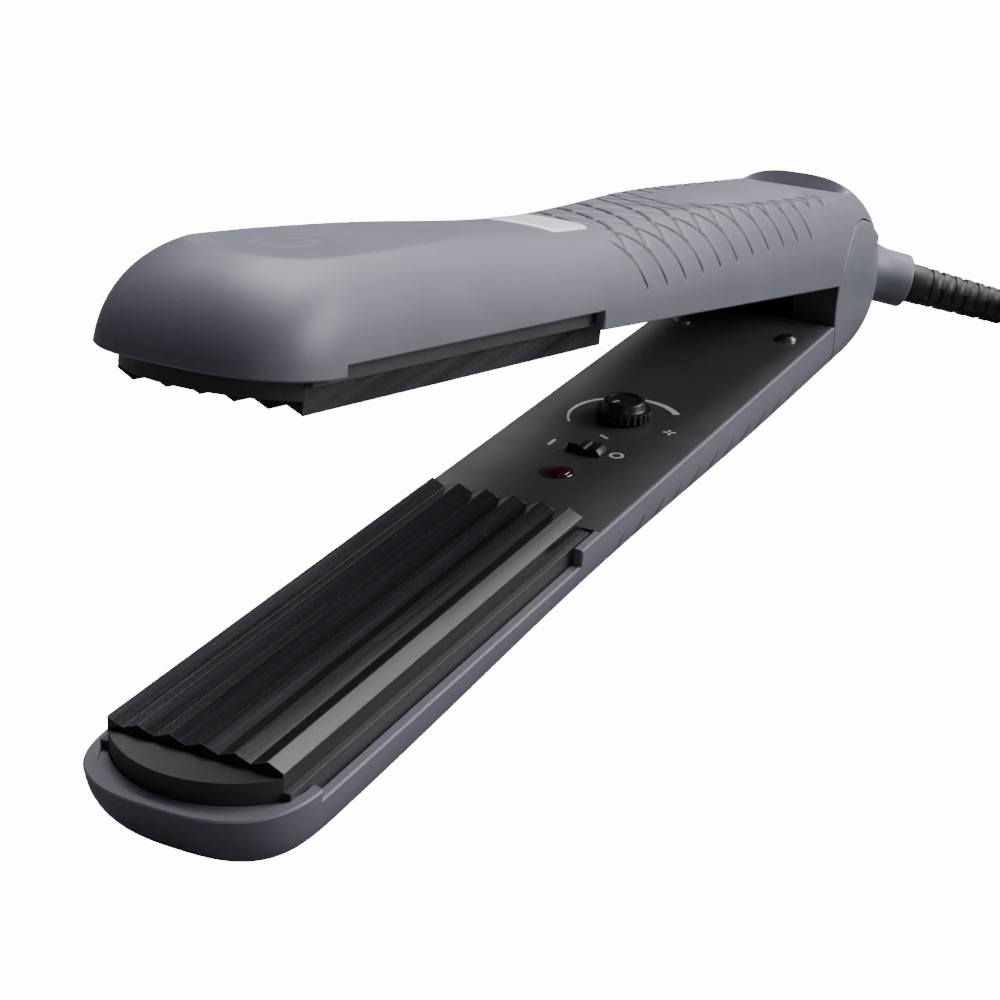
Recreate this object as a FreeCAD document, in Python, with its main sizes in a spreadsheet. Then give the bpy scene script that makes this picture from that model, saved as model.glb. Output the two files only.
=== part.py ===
import FreeCAD, Part
import math
import os

from FreeCAD import Placement, Rotation, Vector

# Hair crimper: two arms on one hinge pin, open on a table. Millimetres, +Z up.
# Arm frame: x runs from the front edge of the heating plates towards the hinge, y across, and z is up
# from the tooth peaks of the lower plate. The row frame has its origin on the table, midway along.

os.makedirs("parts", exist_ok=True)
doc = FreeCAD.newDocument("hair_crimper")
sheet = doc.addObject("Spreadsheet::Sheet", "Dimensions")

DIMENSIONS = {
    # Where the arm frame stands in the row frame.
    "origin_from_plate": 137.5,
    "plate_height": 21.5,
    # Crimp plates.
    "plate_length": 107.0,
    "plate_width": 32.0,
    "plate_depth": 4.4,
    "tooth_depth": 1.4,
    "tooth_pitches": 5.5,
    "rib_offset": 9.0,
    "rib_thick": 1.6,
    "rib_drop": 3.6,
    # Arm shells.
    "half_width": 20.0,
    "nose_length": 12.0,
    "nose_round": 20.0,
    "dome_round": 26.0,
    "wall": 1.8,
    "base_level": 1.5,
    "section_power": 2.8,
    "nose_power": 2.7,
    "dome_power": 2.3,
    "front_rim": 5.7,
    "plate_rim": 7.5,
    "handle_rim": 4.1,
    "handle_start": 99.0,
    "recess_start": 5.0,
    "lower_front_depth": 21.9,
    "lower_waist_depth": 19.5,
    "lower_grip_depth": 21.9,
    "upper_front_depth": 23.4,
    "upper_waist_depth": 21.2,
    "upper_grip_depth": 24.9,
    "upper_rim_rise": 0.0185,
    # Hinge.
    "hinge_from_plate": 257.5,
    "hinge_level": -1.3,
    "open_angle": 12.016,
    "upper_shift": 0.63,
    "plate_mesh": 0.4,
    "disc_radius": 17.7,
    "disc_gap": 0.4,
    "rear_reach": 29.5,
    "rear_top": 26.0,
    "shoulder_angle": 38.0,
    "pin_radius": 2.5,
    "pin_span": 34.0,
    "knuckle_radius": 6.0,
    "knuckle_width": 14.0,
    "fork_gap": 18.4,
    # Plate holders and heaters.
    "holder_half_width": 17.3,
    "holder_top": 4.5,
    "holder_bottom": 8.6,
    "holder_nose": 7.5,
    "holder_nose_top": 2.2,
    "holder_length": 107.6,
    "heater_length": 92.0,
    "heater_width": 15.0,
    "heater_thick": 1.6,
    "clip_length": 70.0,
    "clip_thick": 0.8,
    # Inner covers and controls.
    "cover_thick": 1.8,
    "cover_half_width": 19.3,
    "cover_start": 108.0,
    "cover_end": 239.0,
    "knob_from_plate": 162.5,
    "knob_radius": 5.9,
    "knob_cap_radius": 4.5,
    "knob_skirt": 2.2,
    "knob_height": 4.2,
    "knob_shaft_radius": 1.5,
    "switch_from_plate": 142.5,
    "switch_slot": 9.3,
    "switch_slot_width": 4.6,
    "switch_travel": 3.0,
    "switch_height": 1.6,
    "lens_from_plate": 129.8,
    "lens_radius": 3.4,
    # Cord and what is on it.
    "cord_radius": 3.15,
    "cord_rest": 3.15,
    "relief_length": 30.0,
    "relief_root_radius": 4.9,
    "relief_tip_radius": 4.3,
    "collar_radius": 6.7,
    "hank_mean_radius": 17.65,
}

for row, (alias, value) in enumerate(DIMENSIONS.items(), start=1):
    sheet.set(f"A{row}", alias)
    sheet.set(f"B{row}", str(value))
    sheet.setAlias(f"B{row}", alias)
doc.recompute()


def dim(alias):
    """The value of one cell of the sheet."""
    return float(getattr(sheet, alias))


def bind(feature, **sizes):
    """Bind a feature's properties to expressions on the sheet."""
    for name, expression in sizes.items():
        feature.setExpression(name, expression)
    return feature


X_AXIS = Vector(1, 0, 0)
Y_AXIS = Vector(0, 1, 0)
Z_AXIS = Vector(0, 0, 1)
ORIGIN = Vector(0, 0, 0)
NO_TURN = Rotation()
ALONG_Y = Rotation(X_AXIS, -90)
ALONG_X = Rotation(Y_AXIS, 90)

HINGE = Vector(dim("hinge_from_plate"), 0, dim("hinge_level"))
LOWER = Placement(Vector(-dim("origin_from_plate"), 0, dim("plate_height")), NO_TURN)
SWING = Placement(ORIGIN, Rotation(Y_AXIS, dim("open_angle")), HINGE)
FLIP = Placement(Vector(dim("upper_shift"), 0, dim("plate_mesh")), Rotation(X_AXIS, 180))
UPPER_PARALLEL = LOWER * SWING
UPPER = UPPER_PARALLEL * FLIP

subparts = []


def subpart(feature, label, place=None):
    """Name a finished piece and put it in its place."""
    feature.Label = label
    if place is not None:
        feature.Placement = place * feature.Placement
    subparts.append(feature)
    return feature


# ---------------------------------------------------------------- Part helpers


def primitive(kind, name, position, turn=NO_TURN, **sizes):
    """A Part primitive at a position, its sizes bound to the sheet or to plain numbers."""
    feature = doc.addObject(kind, name)
    feature.Placement = Placement(position, turn)
    return bind(feature, **{key: str(size) for key, size in sizes.items()})


def box(name, low, high):
    """A box from its lowest to its highest corner."""
    size = Vector(*high) - Vector(*low)
    return primitive("Part::Box", name, Vector(*low), Length=size.x, Width=size.y, Height=size.z)


def cylinder(name, position, radius, length, turn=NO_TURN):
    return primitive("Part::Cylinder", name, Vector(*position), turn, Radius=radius, Height=length)


def combine(kind, name, base, *others):
    """Cut, Fuse or Common of features."""
    if kind == "Cut":
        result = doc.addObject("Part::Cut", name)
        result.Base = base
        result.Tool = others[0] if len(others) == 1 else combine("Fuse", name + "_tools", *others)
        return result
    result = doc.addObject("Part::MultiFuse" if kind == "Fuse" else "Part::MultiCommon", name)
    result.Shapes = [base, *others]
    return result


def group(name, features):
    """Separate solids that share one node."""
    result = doc.addObject("Part::Compound", name)
    result.Links = features
    return result


def solid(name, shape):
    """A freeform solid that no primitive or sketched feature makes."""
    feature = doc.addObject("Part::Feature", name)
    feature.Shape = shape
    return feature


# ---------------------------------------------------------- PartDesign helpers


def body_with_sketch(name, role, points):
    """A body and its closed sketch of straight lines on one of its own origin planes."""
    body = doc.addObject("PartDesign::Body", name)
    sketch = body.newObject("Sketcher::SketchObject", name + "_sketch")
    plane = [feature for feature in body.Origin.OriginFeatures if feature.Role == role][0]
    sketch.AttachmentSupport = [(plane, "")]
    sketch.MapMode = "FlatFace"
    corners = [Vector(u, v, 0) for u, v in points]
    for start, end in zip(corners, corners[1:] + corners[:1]):
        sketch.addGeometry(Part.LineSegment(start, end), False)
    return body, sketch


def padded(name, role, points, length):
    """A sketch padded by a length bound to the sheet."""
    body, sketch = body_with_sketch(name, role, points)
    pad = body.newObject("PartDesign::Pad", name + "_pad")
    pad.Profile = sketch
    bind(pad, Length=str(length))
    sketch.Visibility = False
    return body


def turned(name, points):
    """A profile of (radius, height) points revolved about the body's own Z axis."""
    body, sketch = body_with_sketch(name, "XZ_Plane", points)
    revolution = body.newObject("PartDesign::Revolution", name + "_revolution")
    revolution.Profile = sketch
    revolution.ReferenceAxis = (sketch, ["V_Axis"])
    revolution.Angle = 360
    sketch.Visibility = False
    return body


# -------------------------------------------------------------- Arm shell form

NOSE_STATIONS = (-11.8, -11.3, -10.2, -8.4, -5.6, -2.0, 3.0, 8.0)
ARM_STATIONS = (15, 40, 65, 90, 112, 130, 150, 170, 190, 210, 225, 240)
FRONT_X = 15.0
WAIST_X = 112.0
GRIP_X = 225.0
SECTION_POINTS = 24


def ease(start, end, share):
    """Smooth step from one value to another."""
    share = min(max(share, 0.0), 1.0)
    return start + (end - start) * share * share * (3 - 2 * share)


def rounded(share, power):
    """Height of a superelliptic quarter round, 0 to 1."""
    share = min(max(share, 0.0), 1.0)
    return (1 - (1 - share) ** power) ** (1 / power)


def arm_depth(arm, x):
    """Distance from the plate's tooth peaks to the arm's back at x."""
    front, waist, grip = (dim(f"{arm}_{part}_depth") for part in ("front", "waist", "grip"))
    if x < WAIST_X:
        depth = ease(front, waist, (x - FRONT_X) / (WAIST_X - FRONT_X))
    else:
        depth = ease(waist, grip, (x - WAIST_X) / (GRIP_X - WAIST_X))
    return depth


def section_wire(centre, outward, half_width, height):
    """Closed section: a flat chord of the arm's inner side and a superelliptic back."""
    power = dim("section_power")
    back = []
    for step in range(SECTION_POINTS + 1):
        angle = math.pi * step / SECTION_POINTS
        across = math.copysign(abs(math.cos(angle)) ** (2 / power), math.cos(angle))
        rise = math.sin(angle) ** (2 / power) if 0 < step < SECTION_POINTS else 0.0
        back.append(centre + Y_AXIS * (half_width * across) + outward * (height * rise))
    curve = Part.BSplineCurve()
    curve.interpolate(back)
    return Part.Wire([curve.toShape(), Part.LineSegment(back[-1], back[0]).toShape()])


def arm_solid(arm, inset, end_x, with_tail):
    """Outside of an arm, or its inside when inset by the wall, in the arm's own frame."""
    base = -dim("base_level")
    wires = []
    stations = [x for x in (*NOSE_STATIONS, *ARM_STATIONS) if x < end_x] + [end_x]
    for x in stations:
        reach = x + dim("nose_length") - inset
        if reach <= 0.1:
            continue
        width_share = rounded(reach / dim("nose_round"), dim("nose_power"))
        depth_share = rounded(reach / dim("dome_round"), dim("dome_power"))
        half = (dim("half_width") - inset) * width_share
        height = (arm_depth(arm, x) - inset + base) * depth_share
        wires.append(section_wire(Vector(x, 0, base), -Z_AXIS, half, height))
    if with_tail:
        wires += tail_wires()
    return Part.makeLoft(wires, True, False)


def rear_radius(angle, top, bottom):
    """Reach of the rounded rear end from the hinge axis, at an angle above the horizontal."""
    height = top if angle >= 0 else bottom
    run = math.cos(math.radians(angle)) / dim("rear_reach")
    rise = math.sin(math.radians(abs(angle))) / height
    return 1 / math.hypot(run, rise)


def ring_wire(angle, reach, base):
    """Section on a half plane through the hinge axis, in the level frame of the lower arm."""
    outward = Vector(math.cos(math.radians(angle)), 0, math.sin(math.radians(angle)))
    return section_wire(HINGE + outward * base, outward, dim("half_width"), reach - base)


def tail_wires():
    """Sections that carry the upper arm's back round the hinge to the shoulder."""
    base = -dim("base_level")
    hub = dim("plate_mesh") - base - dim("hinge_level")
    top = dim("upper_grip_depth") + dim("plate_mesh") - dim("hinge_level")
    wires = []
    turn = dim("open_angle")
    steps = 5
    first = 90.0 - 8.0
    last = dim("shoulder_angle") + turn
    to_flip = FLIP.inverse()
    for step in range(steps):
        angle = first + (last - first) * step / (steps - 1)
        blend = (90.0 - angle) / (90.0 - last)
        reach = top + (rear_radius(angle - turn, dim("rear_top"), dim("rear_top")) - top) * blend
        wire = ring_wire(angle, reach, hub)
        wires.append(wire.transformGeometry(to_flip.toMatrix()))
    return wires


def slanted_block(points, half_width):
    """A prism across the arm from points (x, z)."""
    corners = [Vector(x, -half_width, z) for x, z in points]
    face = Part.Face(Part.makePolygon(corners + corners[:1]))
    return face.extrude(Vector(0, 2 * half_width, 0))


def rim_cutter(rise):
    """What is cleared from the inner side of an arm: low beside the plate, higher at nose and handle."""
    above = 30.0
    ahead = -40.0
    behind = 300.0
    start = dim("handle_start")
    recess = dim("recess_start")
    rim = -dim("handle_rim")
    points = [
        (ahead, above),
        (ahead, -dim("front_rim")),
        (recess, -dim("front_rim")),
        (recess, -dim("plate_rim")),
        (start, -dim("plate_rim")),
        (start, rim),
        (behind, rim + rise * (behind - start)),
        (behind, above),
    ]
    return slanted_block(points, 40.0)


def cover_recess(rise, half_width, depth):
    """Rebate of the rim that takes the inner cover."""
    start = dim("cover_start")
    end = dim("cover_end")
    rim = -dim("handle_rim") + rise * (start - dim("handle_start"))
    far = rim + rise * (end - start)
    points = [(start, rim), (end, far), (end, far - depth), (start, rim - depth)]
    return slanted_block(points, half_width)


def hinge_cylinder(radius, half_length=30.0, place=Placement()):
    """A solid round the hinge axis, seen from an arm's own frame."""
    start = HINGE - Y_AXIS * half_length
    shape = Part.makeCylinder(radius, 2 * half_length, start, Y_AXIS)
    shape.transformShape(place.toMatrix())
    return shape


# ------------------------------------------------------------------ Arm shells

SCREW_SPOTS = {
    "lower": ((226.0, 13.0), (226.0, -13.0)),
    "upper": ((118.0, 13.0), (182.0, -13.0), (224.0, 13.0)),
}
SCREW_RADIUS = 1.2
SCREW_HEAD_RADIUS = 2.3
SCREW_HEAD_DEPTH = 1.0
SCREW_LENGTH = 9.0
BOSS_RADIUS = 2.8
BOSS_FOOT = 5.0
CAVITY_END = 234.0
KNUCKLE_HALF = dim("knuckle_width") / 2
ARM_LOW = 4.4
ARM_HIGH = 10.0
REBATE_GAP = 0.1


def screw_post(arm, rise, x, y):
    """Post under a cover screw, its foot inside the shell's wall, with the screw's pilot hole."""
    foot = Vector(x, y, BOSS_FOOT - arm_depth(arm, x))
    top = -dim("handle_rim") + rise * (x - dim("handle_start")) - dim("cover_thick") - 2 * REBATE_GAP
    post = Part.makeCylinder(BOSS_RADIUS, top - foot.z, foot)
    pilot = Part.makeCylinder(SCREW_RADIUS, SCREW_LENGTH, Vector(x, y, top + dim("cover_thick") - SCREW_LENGTH))
    return post.cut(pilot)


def make_shell(arm, rise, place, outside):
    """One arm's outer shell: hollow, with its rim, its cover rebate and its arc round the hinge."""
    inside = arm_solid(arm, dim("wall"), CAVITY_END, False)
    rebate = cover_recess(rise, dim("cover_half_width") + REBATE_GAP, dim("cover_thick") + REBATE_GAP)
    hub = hinge_cylinder(dim("disc_radius") + dim("disc_gap"), place=place)
    shape = outside.cut(inside).cut(rim_cutter(rise)).cut(rebate).cut(hub)
    posts = [screw_post(arm, rise, x, y) for x, y in SCREW_SPOTS[arm]]
    return solid(arm + "_shell_form", shape.fuse(posts))


lower_outside = arm_solid("lower", 0.0, dim("hinge_from_plate"), False)
table_plane = Part.makeBox(400, 100, 30, Vector(-50, -50, -dim("plate_height") - 30))
lower_outside = lower_outside.cut(table_plane)
upper_outside = arm_solid("upper", 0.0, dim("hinge_from_plate") - dim("upper_shift"), True)

lower_form = make_shell("lower", 0.0, Placement(), lower_outside)
lead_hole = cylinder("lower_lead_hole", (CAVITY_END - 4, 0, -13), 3.2, 30, ALONG_X)
lower_shell = subpart(combine("Cut", "lower_shell_cut", lower_form, lead_hole), "lower_shell", LOWER)

upper_form = make_shell("upper", dim("upper_rim_rise"), FLIP.inverse(), upper_outside)
knuckle_slot = box(
    "knuckle_slot",
    (CAVITY_END - 4, -KNUCKLE_HALF - 0.1, dim("plate_mesh") - ARM_HIGH - 0.1),
    (260, KNUCKLE_HALF + 0.1, dim("plate_mesh") - ARM_LOW + 0.1),
)
upper_shell = subpart(combine("Cut", "upper_shell_cut", upper_form, knuckle_slot), "upper_shell", UPPER)

# ---------------------------------------------- Heating plates and what holds them


def tooth_outline():
    """Plate section (y, z): triangular teeth on top, two clip ribs below."""
    half = dim("plate_width") / 2
    pitch = dim("plate_width") / dim("tooth_pitches")
    halves = round(2 * dim("tooth_pitches"))
    points = []
    for step in range(halves + 1):
        level = 0.0 if step % 2 == 0 else -dim("tooth_depth")
        points.append((half - step * pitch / 2, level))
    under = -dim("plate_depth")
    drop = under - dim("rib_drop")
    outer = dim("rib_offset") + dim("rib_thick") / 2
    inner = dim("rib_offset") - dim("rib_thick") / 2
    points += [(-half, under), (-outer, under), (-outer, drop), (-inner, drop), (-inner, under)]
    points += [(inner, under), (inner, drop), (outer, drop), (outer, under), (half, under)]
    return points


def make_heating_set(arm, place):
    """Crimp plate, its holder, the ceramic heater behind it and the spring clip on the ribs."""
    plate = padded(arm + "_plate", "YZ_Plane", tooth_outline(), "Dimensions.plate_length")
    subpart(plate, arm + "_crimp_plate", place)

    low = -dim("holder_bottom")
    tray = box(
        arm + "_tray",
        (-0.2, -dim("holder_half_width"), low),
        (dim("holder_length"), dim("holder_half_width"), -dim("holder_top")),
    )
    nose_chord = dim("plate_width") / 2
    nose_radius = (nose_chord**2 + dim("holder_nose") ** 2) / (2 * dim("holder_nose"))
    nose_height = dim("holder_bottom") - dim("holder_nose_top")
    nose_disc = cylinder(arm + "_nose_disc", (nose_radius - dim("holder_nose"), 0, low), nose_radius, nose_height)
    nose_slab = box(arm + "_nose_slab", (-20, -nose_chord, low), (-0.1, nose_chord, 0))
    nose = combine("Common", arm + "_nose", nose_disc, nose_slab)
    window = box(arm + "_window", (4, -11, low - 1), (dim("plate_length") - 4, 11, 0))
    lead_notch = box(arm + "_lead_notch", (100, -4.4, low - 1), (dim("holder_length") + 1, 4.4, 0))
    tools = [window, lead_notch]
    slot_half = dim("rib_thick") / 2 + 0.1
    for side in (-1, 1):
        slot_y = side * dim("rib_offset")
        slot_low = (-0.1, slot_y - slot_half, low - 1)
        slot_high = (dim("plate_length") + 0.1, slot_y + slot_half, 0)
        tools.append(box(f"{arm}_rib_slot_{len(tools)}", slot_low, slot_high))
    holder = combine("Cut", arm + "_holder", combine("Fuse", arm + "_holder_blank", tray, nose), *tools)
    subpart(holder, arm + "_plate_holder", place)

    middle = dim("plate_length") / 2
    under = -dim("plate_depth")
    heater = primitive(
        "Part::Box",
        arm + "_ceramic",
        Vector(middle - dim("heater_length") / 2, -dim("heater_width") / 2, under - dim("heater_thick")),
        Length="Dimensions.heater_length",
        Width="Dimensions.heater_width",
        Height="Dimensions.heater_thick",
    )
    subpart(heater, arm + "_heater", place)

    clip_half = dim("rib_offset") + dim("rib_thick") / 2 + dim("clip_thick")
    leaf_top = under - dim("heater_thick")
    leaf_low = -dim("plate_depth") - dim("rib_drop") - dim("clip_thick")
    outer = [(-clip_half, leaf_low), (clip_half, leaf_low), (clip_half, under - 1.2)]
    inner_half = clip_half - dim("clip_thick")
    bend = dim("rib_offset") - dim("rib_thick") / 2 - 0.2
    rise = leaf_low + dim("clip_thick")
    inner = [(inner_half, under - 1.2), (inner_half, rise), (bend, rise)]
    saddle = [(4.0, leaf_top), (-4.0, leaf_top)]
    mirrored = [(-y, z) for y, z in reversed(inner)]
    mirrored.append((-clip_half, under - 1.2))
    profile = outer + inner + saddle + mirrored
    clip = padded(arm + "_clip", "YZ_Plane", profile, "Dimensions.clip_length")
    clip.Placement = Placement(Vector(middle - dim("clip_length") / 2, 0, 0), NO_TURN)
    subpart(clip, arm + "_heater_clip", place)


make_heating_set("lower", LOWER)
make_heating_set("upper", UPPER)

# ------------------------------------------------------------------ Inner covers


def make_cover(arm, rise, place, windows):
    """Cover plate of the handle's inner side, with windows for the controls and screw holes."""
    blank = solid(arm + "_cover_blank", cover_recess(rise, dim("cover_half_width"), dim("cover_thick")))
    hub_place = FLIP.inverse() if arm == "upper" else Placement()
    hub_shape = hinge_cylinder(dim("disc_radius") + 2 * dim("disc_gap"), place=hub_place)
    holes = [solid(arm + "_cover_hub", hub_shape), *windows]
    for number, (x, y) in enumerate(SCREW_SPOTS[arm]):
        holes.append(cylinder(f"{arm}_screw_hole_{number}", (x, y, -20), SCREW_RADIUS, 30))
    cover = combine("Cut", arm + "_cover", blank, *holes)
    subpart(cover, arm + "_inner_cover", place)


def cover_level(rise, x):
    """Height of the inner cover's face at x."""
    return -dim("handle_rim") + rise * (x - dim("handle_start"))


def make_screw(name, length=SCREW_LENGTH):
    """Pan head self-tapping screw, head up, its seat at the origin."""
    points = [
        (0, SCREW_HEAD_DEPTH),
        (SCREW_HEAD_RADIUS * 0.6, SCREW_HEAD_DEPTH),
        (SCREW_HEAD_RADIUS, SCREW_HEAD_DEPTH * 0.4),
        (SCREW_HEAD_RADIUS, 0),
        (SCREW_RADIUS - 0.05, 0),
        (SCREW_RADIUS - 0.05, 1.0 - length),
        (0, -length),
    ]
    return turned(name, points)


def make_cover_screws(arm, rise, place):
    screws = []
    for number, (x, y) in enumerate(SCREW_SPOTS[arm]):
        screw = make_screw(f"{arm}_screw_{number}")
        seat = cover_level(rise, x) + rise * SCREW_HEAD_RADIUS
        screw.Placement = Placement(Vector(x, y, seat), NO_TURN)
        screws.append(screw)
    subpart(group(arm + "_screw_group", screws), arm + "_cover_screws", place)


panel = -dim("handle_rim")
knob_window = cylinder("knob_window", (dim("knob_from_plate"), 0, -20), dim("knob_shaft_radius") + 1.0, 30)
slot_half = dim("switch_slot") / 2
switch_half_width = dim("switch_slot_width") / 2
switch_x = dim("switch_from_plate")
switch_window = box(
    "switch_window",
    (switch_x - switch_half_width, -slot_half, -20),
    (switch_x + switch_half_width, slot_half, 0),
)
lens_window = cylinder("lens_window", (dim("lens_from_plate"), 0, -20), 2.6, 30)
make_cover("lower", 0.0, LOWER, [knob_window, switch_window, lens_window])
make_cover("upper", dim("upper_rim_rise"), UPPER, [])
make_cover_screws("lower", 0.0, LOWER)
make_cover_screws("upper", dim("upper_rim_rise"), UPPER)

# ---------------------------------------------------------------------- Controls

KNOB_RIBS = 24
RUNNING_GAP = 0.3
SHAFT_GAP = 0.06

knob_place = LOWER * Placement(Vector(dim("knob_from_plate"), 0, panel + RUNNING_GAP), NO_TURN)
knob_profile = [
    (0, 0),
    (dim("knob_radius"), 0),
    (dim("knob_radius"), dim("knob_skirt")),
    (dim("knob_cap_radius"), dim("knob_skirt")),
    (dim("knob_cap_radius"), dim("knob_height")),
    (0, dim("knob_height")),
]
knob_drum = turned("knob_drum", knob_profile)
knob_flutes = []
for number in range(KNOB_RIBS):
    angle = 2 * math.pi * number / KNOB_RIBS
    spot = (dim("knob_radius") * math.cos(angle), dim("knob_radius") * math.sin(angle), -1)
    knob_flutes.append(cylinder(f"knob_flute_{number}", spot, 0.35, dim("knob_skirt") + 0.6))
knob = combine("Cut", "knob_cut", knob_drum, *knob_flutes)
subpart(knob, "temperature_knob", knob_place)

shaft_low = panel - 6.0
shaft = primitive(
    "Part::Cylinder",
    "knob_stem",
    Vector(0, 0, shaft_low - panel - RUNNING_GAP),
    Radius="Dimensions.knob_shaft_radius",
    Height=-(shaft_low - panel - RUNNING_GAP),
)
subpart(shaft, "knob_shaft", knob_place)

pot_top = panel - dim("cover_thick") - 1.0
pot_height = 5.0
pot_half = 5.5
pot_low = pot_top - pot_height
pot_block = box("pot_block", (-pot_half, -pot_half, -pot_height), (pot_half, pot_half, 0))
pot_bore = cylinder("pot_bore", (0, 0, -pot_height - 1), dim("knob_shaft_radius") + SHAFT_GAP, 20)
pot_place = LOWER * Placement(Vector(dim("knob_from_plate"), 0, pot_top), NO_TURN)
subpart(combine("Cut", "pot_cut", pot_block, pot_bore), "potentiometer_body", pot_place)

slider_half = slot_half - dim("switch_travel") / 2 - 0.2
slider_side = switch_half_width - 0.15
slider_top = dim("switch_height")
slider_ridges = [
    (-slider_half, -2.6),
    (slider_half, -2.6),
    (slider_half, 0.5),
    (slider_half - 0.9, slider_top),
    (0.8, slider_top),
    (0.4, slider_top - 0.6),
    (-0.4, slider_top - 0.6),
    (-0.8, slider_top),
    (-slider_half + 0.9, slider_top),
    (-slider_half, 0.5),
]
slider = padded("slider", "YZ_Plane", slider_ridges, 2 * slider_side)
slider_rest = dim("switch_travel") / 2
slider_spot = Vector(switch_x - slider_side, -slider_rest, panel)
slider.Placement = Placement(slider_spot, NO_TURN)
subpart(slider, "power_slider", LOWER)

switch_low = panel - 2.6 - 0.2
switch_block = box("switch_block", (switch_x - 3.5, -6.5, pot_low), (switch_x + 3.5, 6.5, switch_low))
subpart(switch_block, "switch_body", LOWER)

lens_profile = [(0, 1.1), (1.6, 0.9), (2.8, 0.45), (dim("lens_radius"), 0), (2.5, 0), (2.5, -2.4), (0, -2.4)]
lens_spot = Placement(Vector(dim("lens_from_plate"), 0, panel), NO_TURN)
subpart(turned("lens", lens_profile), "indicator_lens", LOWER * lens_spot)

led_profile = [(0, 0), (0.8, -0.2), (1.4, -0.8), (1.5, -1.5), (1.5, -4.0), (0, -4.0)]
led_spot = Placement(Vector(dim("lens_from_plate"), 0, panel - 2.6), NO_TURN)
subpart(turned("led", led_profile), "indicator_led", LOWER * led_spot)

board_top = pot_low
board_blank = padded(
    "board",
    "XY_Plane",
    [(124, -9.5), (196, -9.5), (196, 9.5), (124, 9.5)],
    1.6,
)
board_blank.Placement = Placement(Vector(0, 0, board_top - 1.6), NO_TURN)
capacitor = cylinder("capacitor", (184, -2, board_top), 3.5, 4.2)
relay = box("relay", (172, 2, board_top), (180, 9, board_top + 4.5))
board = combine("Fuse", "board_set", board_blank, capacitor, relay)
subpart(board, "circuit_board", LOWER)

# ------------------------------------------------------------ Sensors and leads

fuse_length = 11.0
sensor_level = -dim("plate_depth") - dim("rib_drop") - dim("clip_thick") - 2.1
fuse_profile = [(0, 0), (0.5, 0), (1.9, 1.5), (1.9, fuse_length - 1.5), (0.5, fuse_length), (0, fuse_length)]
fuse = turned("fuse", fuse_profile)
fuse.Placement = Placement(Vector(60, 0, sensor_level), ALONG_X)
subpart(fuse, "thermal_fuse", UPPER)
bead = primitive("Part::Sphere", "bead", Vector(50, 0, sensor_level + 0.6), Radius=1.4)
subpart(bead, "temperature_sensor", LOWER)


def route_shape(points, radius, ratio):
    """A round tube along straight runs joined by tangent arcs. Prints each arc's radius."""
    edges = []
    start = points[0]
    for before, corner, after in zip(points, points[1:], points[2:]):
        back = (before - corner).normalize()
        ahead = (after - corner).normalize()
        half_turn = (math.pi - back.getAngle(ahead)) / 2
        shorter = min((before - corner).Length, (after - corner).Length)
        trim = ratio * shorter
        bend = trim / math.tan(half_turn)
        middle_way = (back + ahead).normalize()
        centre = corner + middle_way * (bend / math.cos(half_turn))
        enter = corner + back * trim
        leave = corner + ahead * trim
        print("bend radius", round(bend, 1), "diameters", round(bend / (2 * radius), 1))
        if (enter - start).Length > 1e-6:
            edges.append(Part.LineSegment(start, enter).toShape())
        edges.append(Part.Arc(enter, centre - middle_way * bend, leave).toShape())
        start = leave
    edges.append(Part.LineSegment(start, points[-1]).toShape())
    path = Part.Wire(edges)
    section = Part.Wire([Part.makeCircle(radius, points[0], (points[1] - points[0]).normalize())])
    tube = path.makePipeShell([section], True, False)
    print("tube length", round(path.Length, 1))
    print("volume over section times length", round(tube.Volume / (math.pi * radius**2 * path.Length), 4))
    return tube


BEND_RATIO = 0.45


def lead_pair(name, points, spacing):
    """Two insulated leads side by side across the arm."""
    tubes = []
    for side in (-spacing / 2, spacing / 2):
        shifted = [point + Y_AXIS * side for point in points]
        tubes.append(solid(f"{name}_{len(tubes)}", route_shape(shifted, 0.8, BEND_RATIO)))
    return group(name + "_pair", tubes)


heater_end = dim("plate_length") / 2 + dim("heater_length") / 2
lead_level = -dim("plate_depth") - dim("heater_thick") / 2
lower_route = [
    Vector(heater_end + 0.2, 0, lead_level),
    Vector(heater_end + 4.6, 0, lead_level - 0.6),
    Vector(heater_end + 11, 0, lead_level - 8.2),
    Vector(123.8, 0, board_top - 0.9),
]
subpart(lead_pair("lower_lead", lower_route, 6.0), "lower_heater_leads", LOWER)
upper_route = [
    Vector(heater_end + 0.2, 0, lead_level),
    Vector(heater_end + 5, 0, lead_level - 0.6),
    Vector(heater_end + 14, 0, lead_level - 8.2),
    Vector(128, 0, lead_level - 8.6),
    Vector(160, 0, lead_level - 8),
    Vector(220, 0, lead_level - 9),
]
subpart(lead_pair("upper_lead", upper_route, 6.0), "upper_heater_leads", UPPER)

# ----------------------------------------------------------- Hinge and rear end

fork_half = dim("fork_gap") / 2

upper_back = upper_outside.copy()
upper_back.transformShape((SWING * FLIP).toMatrix())
ring_wires = []
ring_base = 3.2
ring_step = 16.0
ring_angles = [dim("shoulder_angle") - ring_step * step for step in range(9)]
for angle in ring_angles:
    bottom = dim("lower_grip_depth") + dim("hinge_level")
    reach = rear_radius(angle, dim("rear_top"), bottom)
    ring_wires.append(ring_wire(angle, reach, ring_base))
rear_ring = Part.makeLoft(ring_wires, True, False)
slab = Part.makeBox(24, 39.4, 9.0, Vector(HINGE.x - 19, -19.7, HINGE.z - 5.0))
disc = hinge_cylinder(dim("disc_radius"))
block_shape = upper_back.fuse(lower_outside).fuse(slab).common(disc).fuse(rear_ring)
block_shape = block_shape.cut(table_plane)

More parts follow.
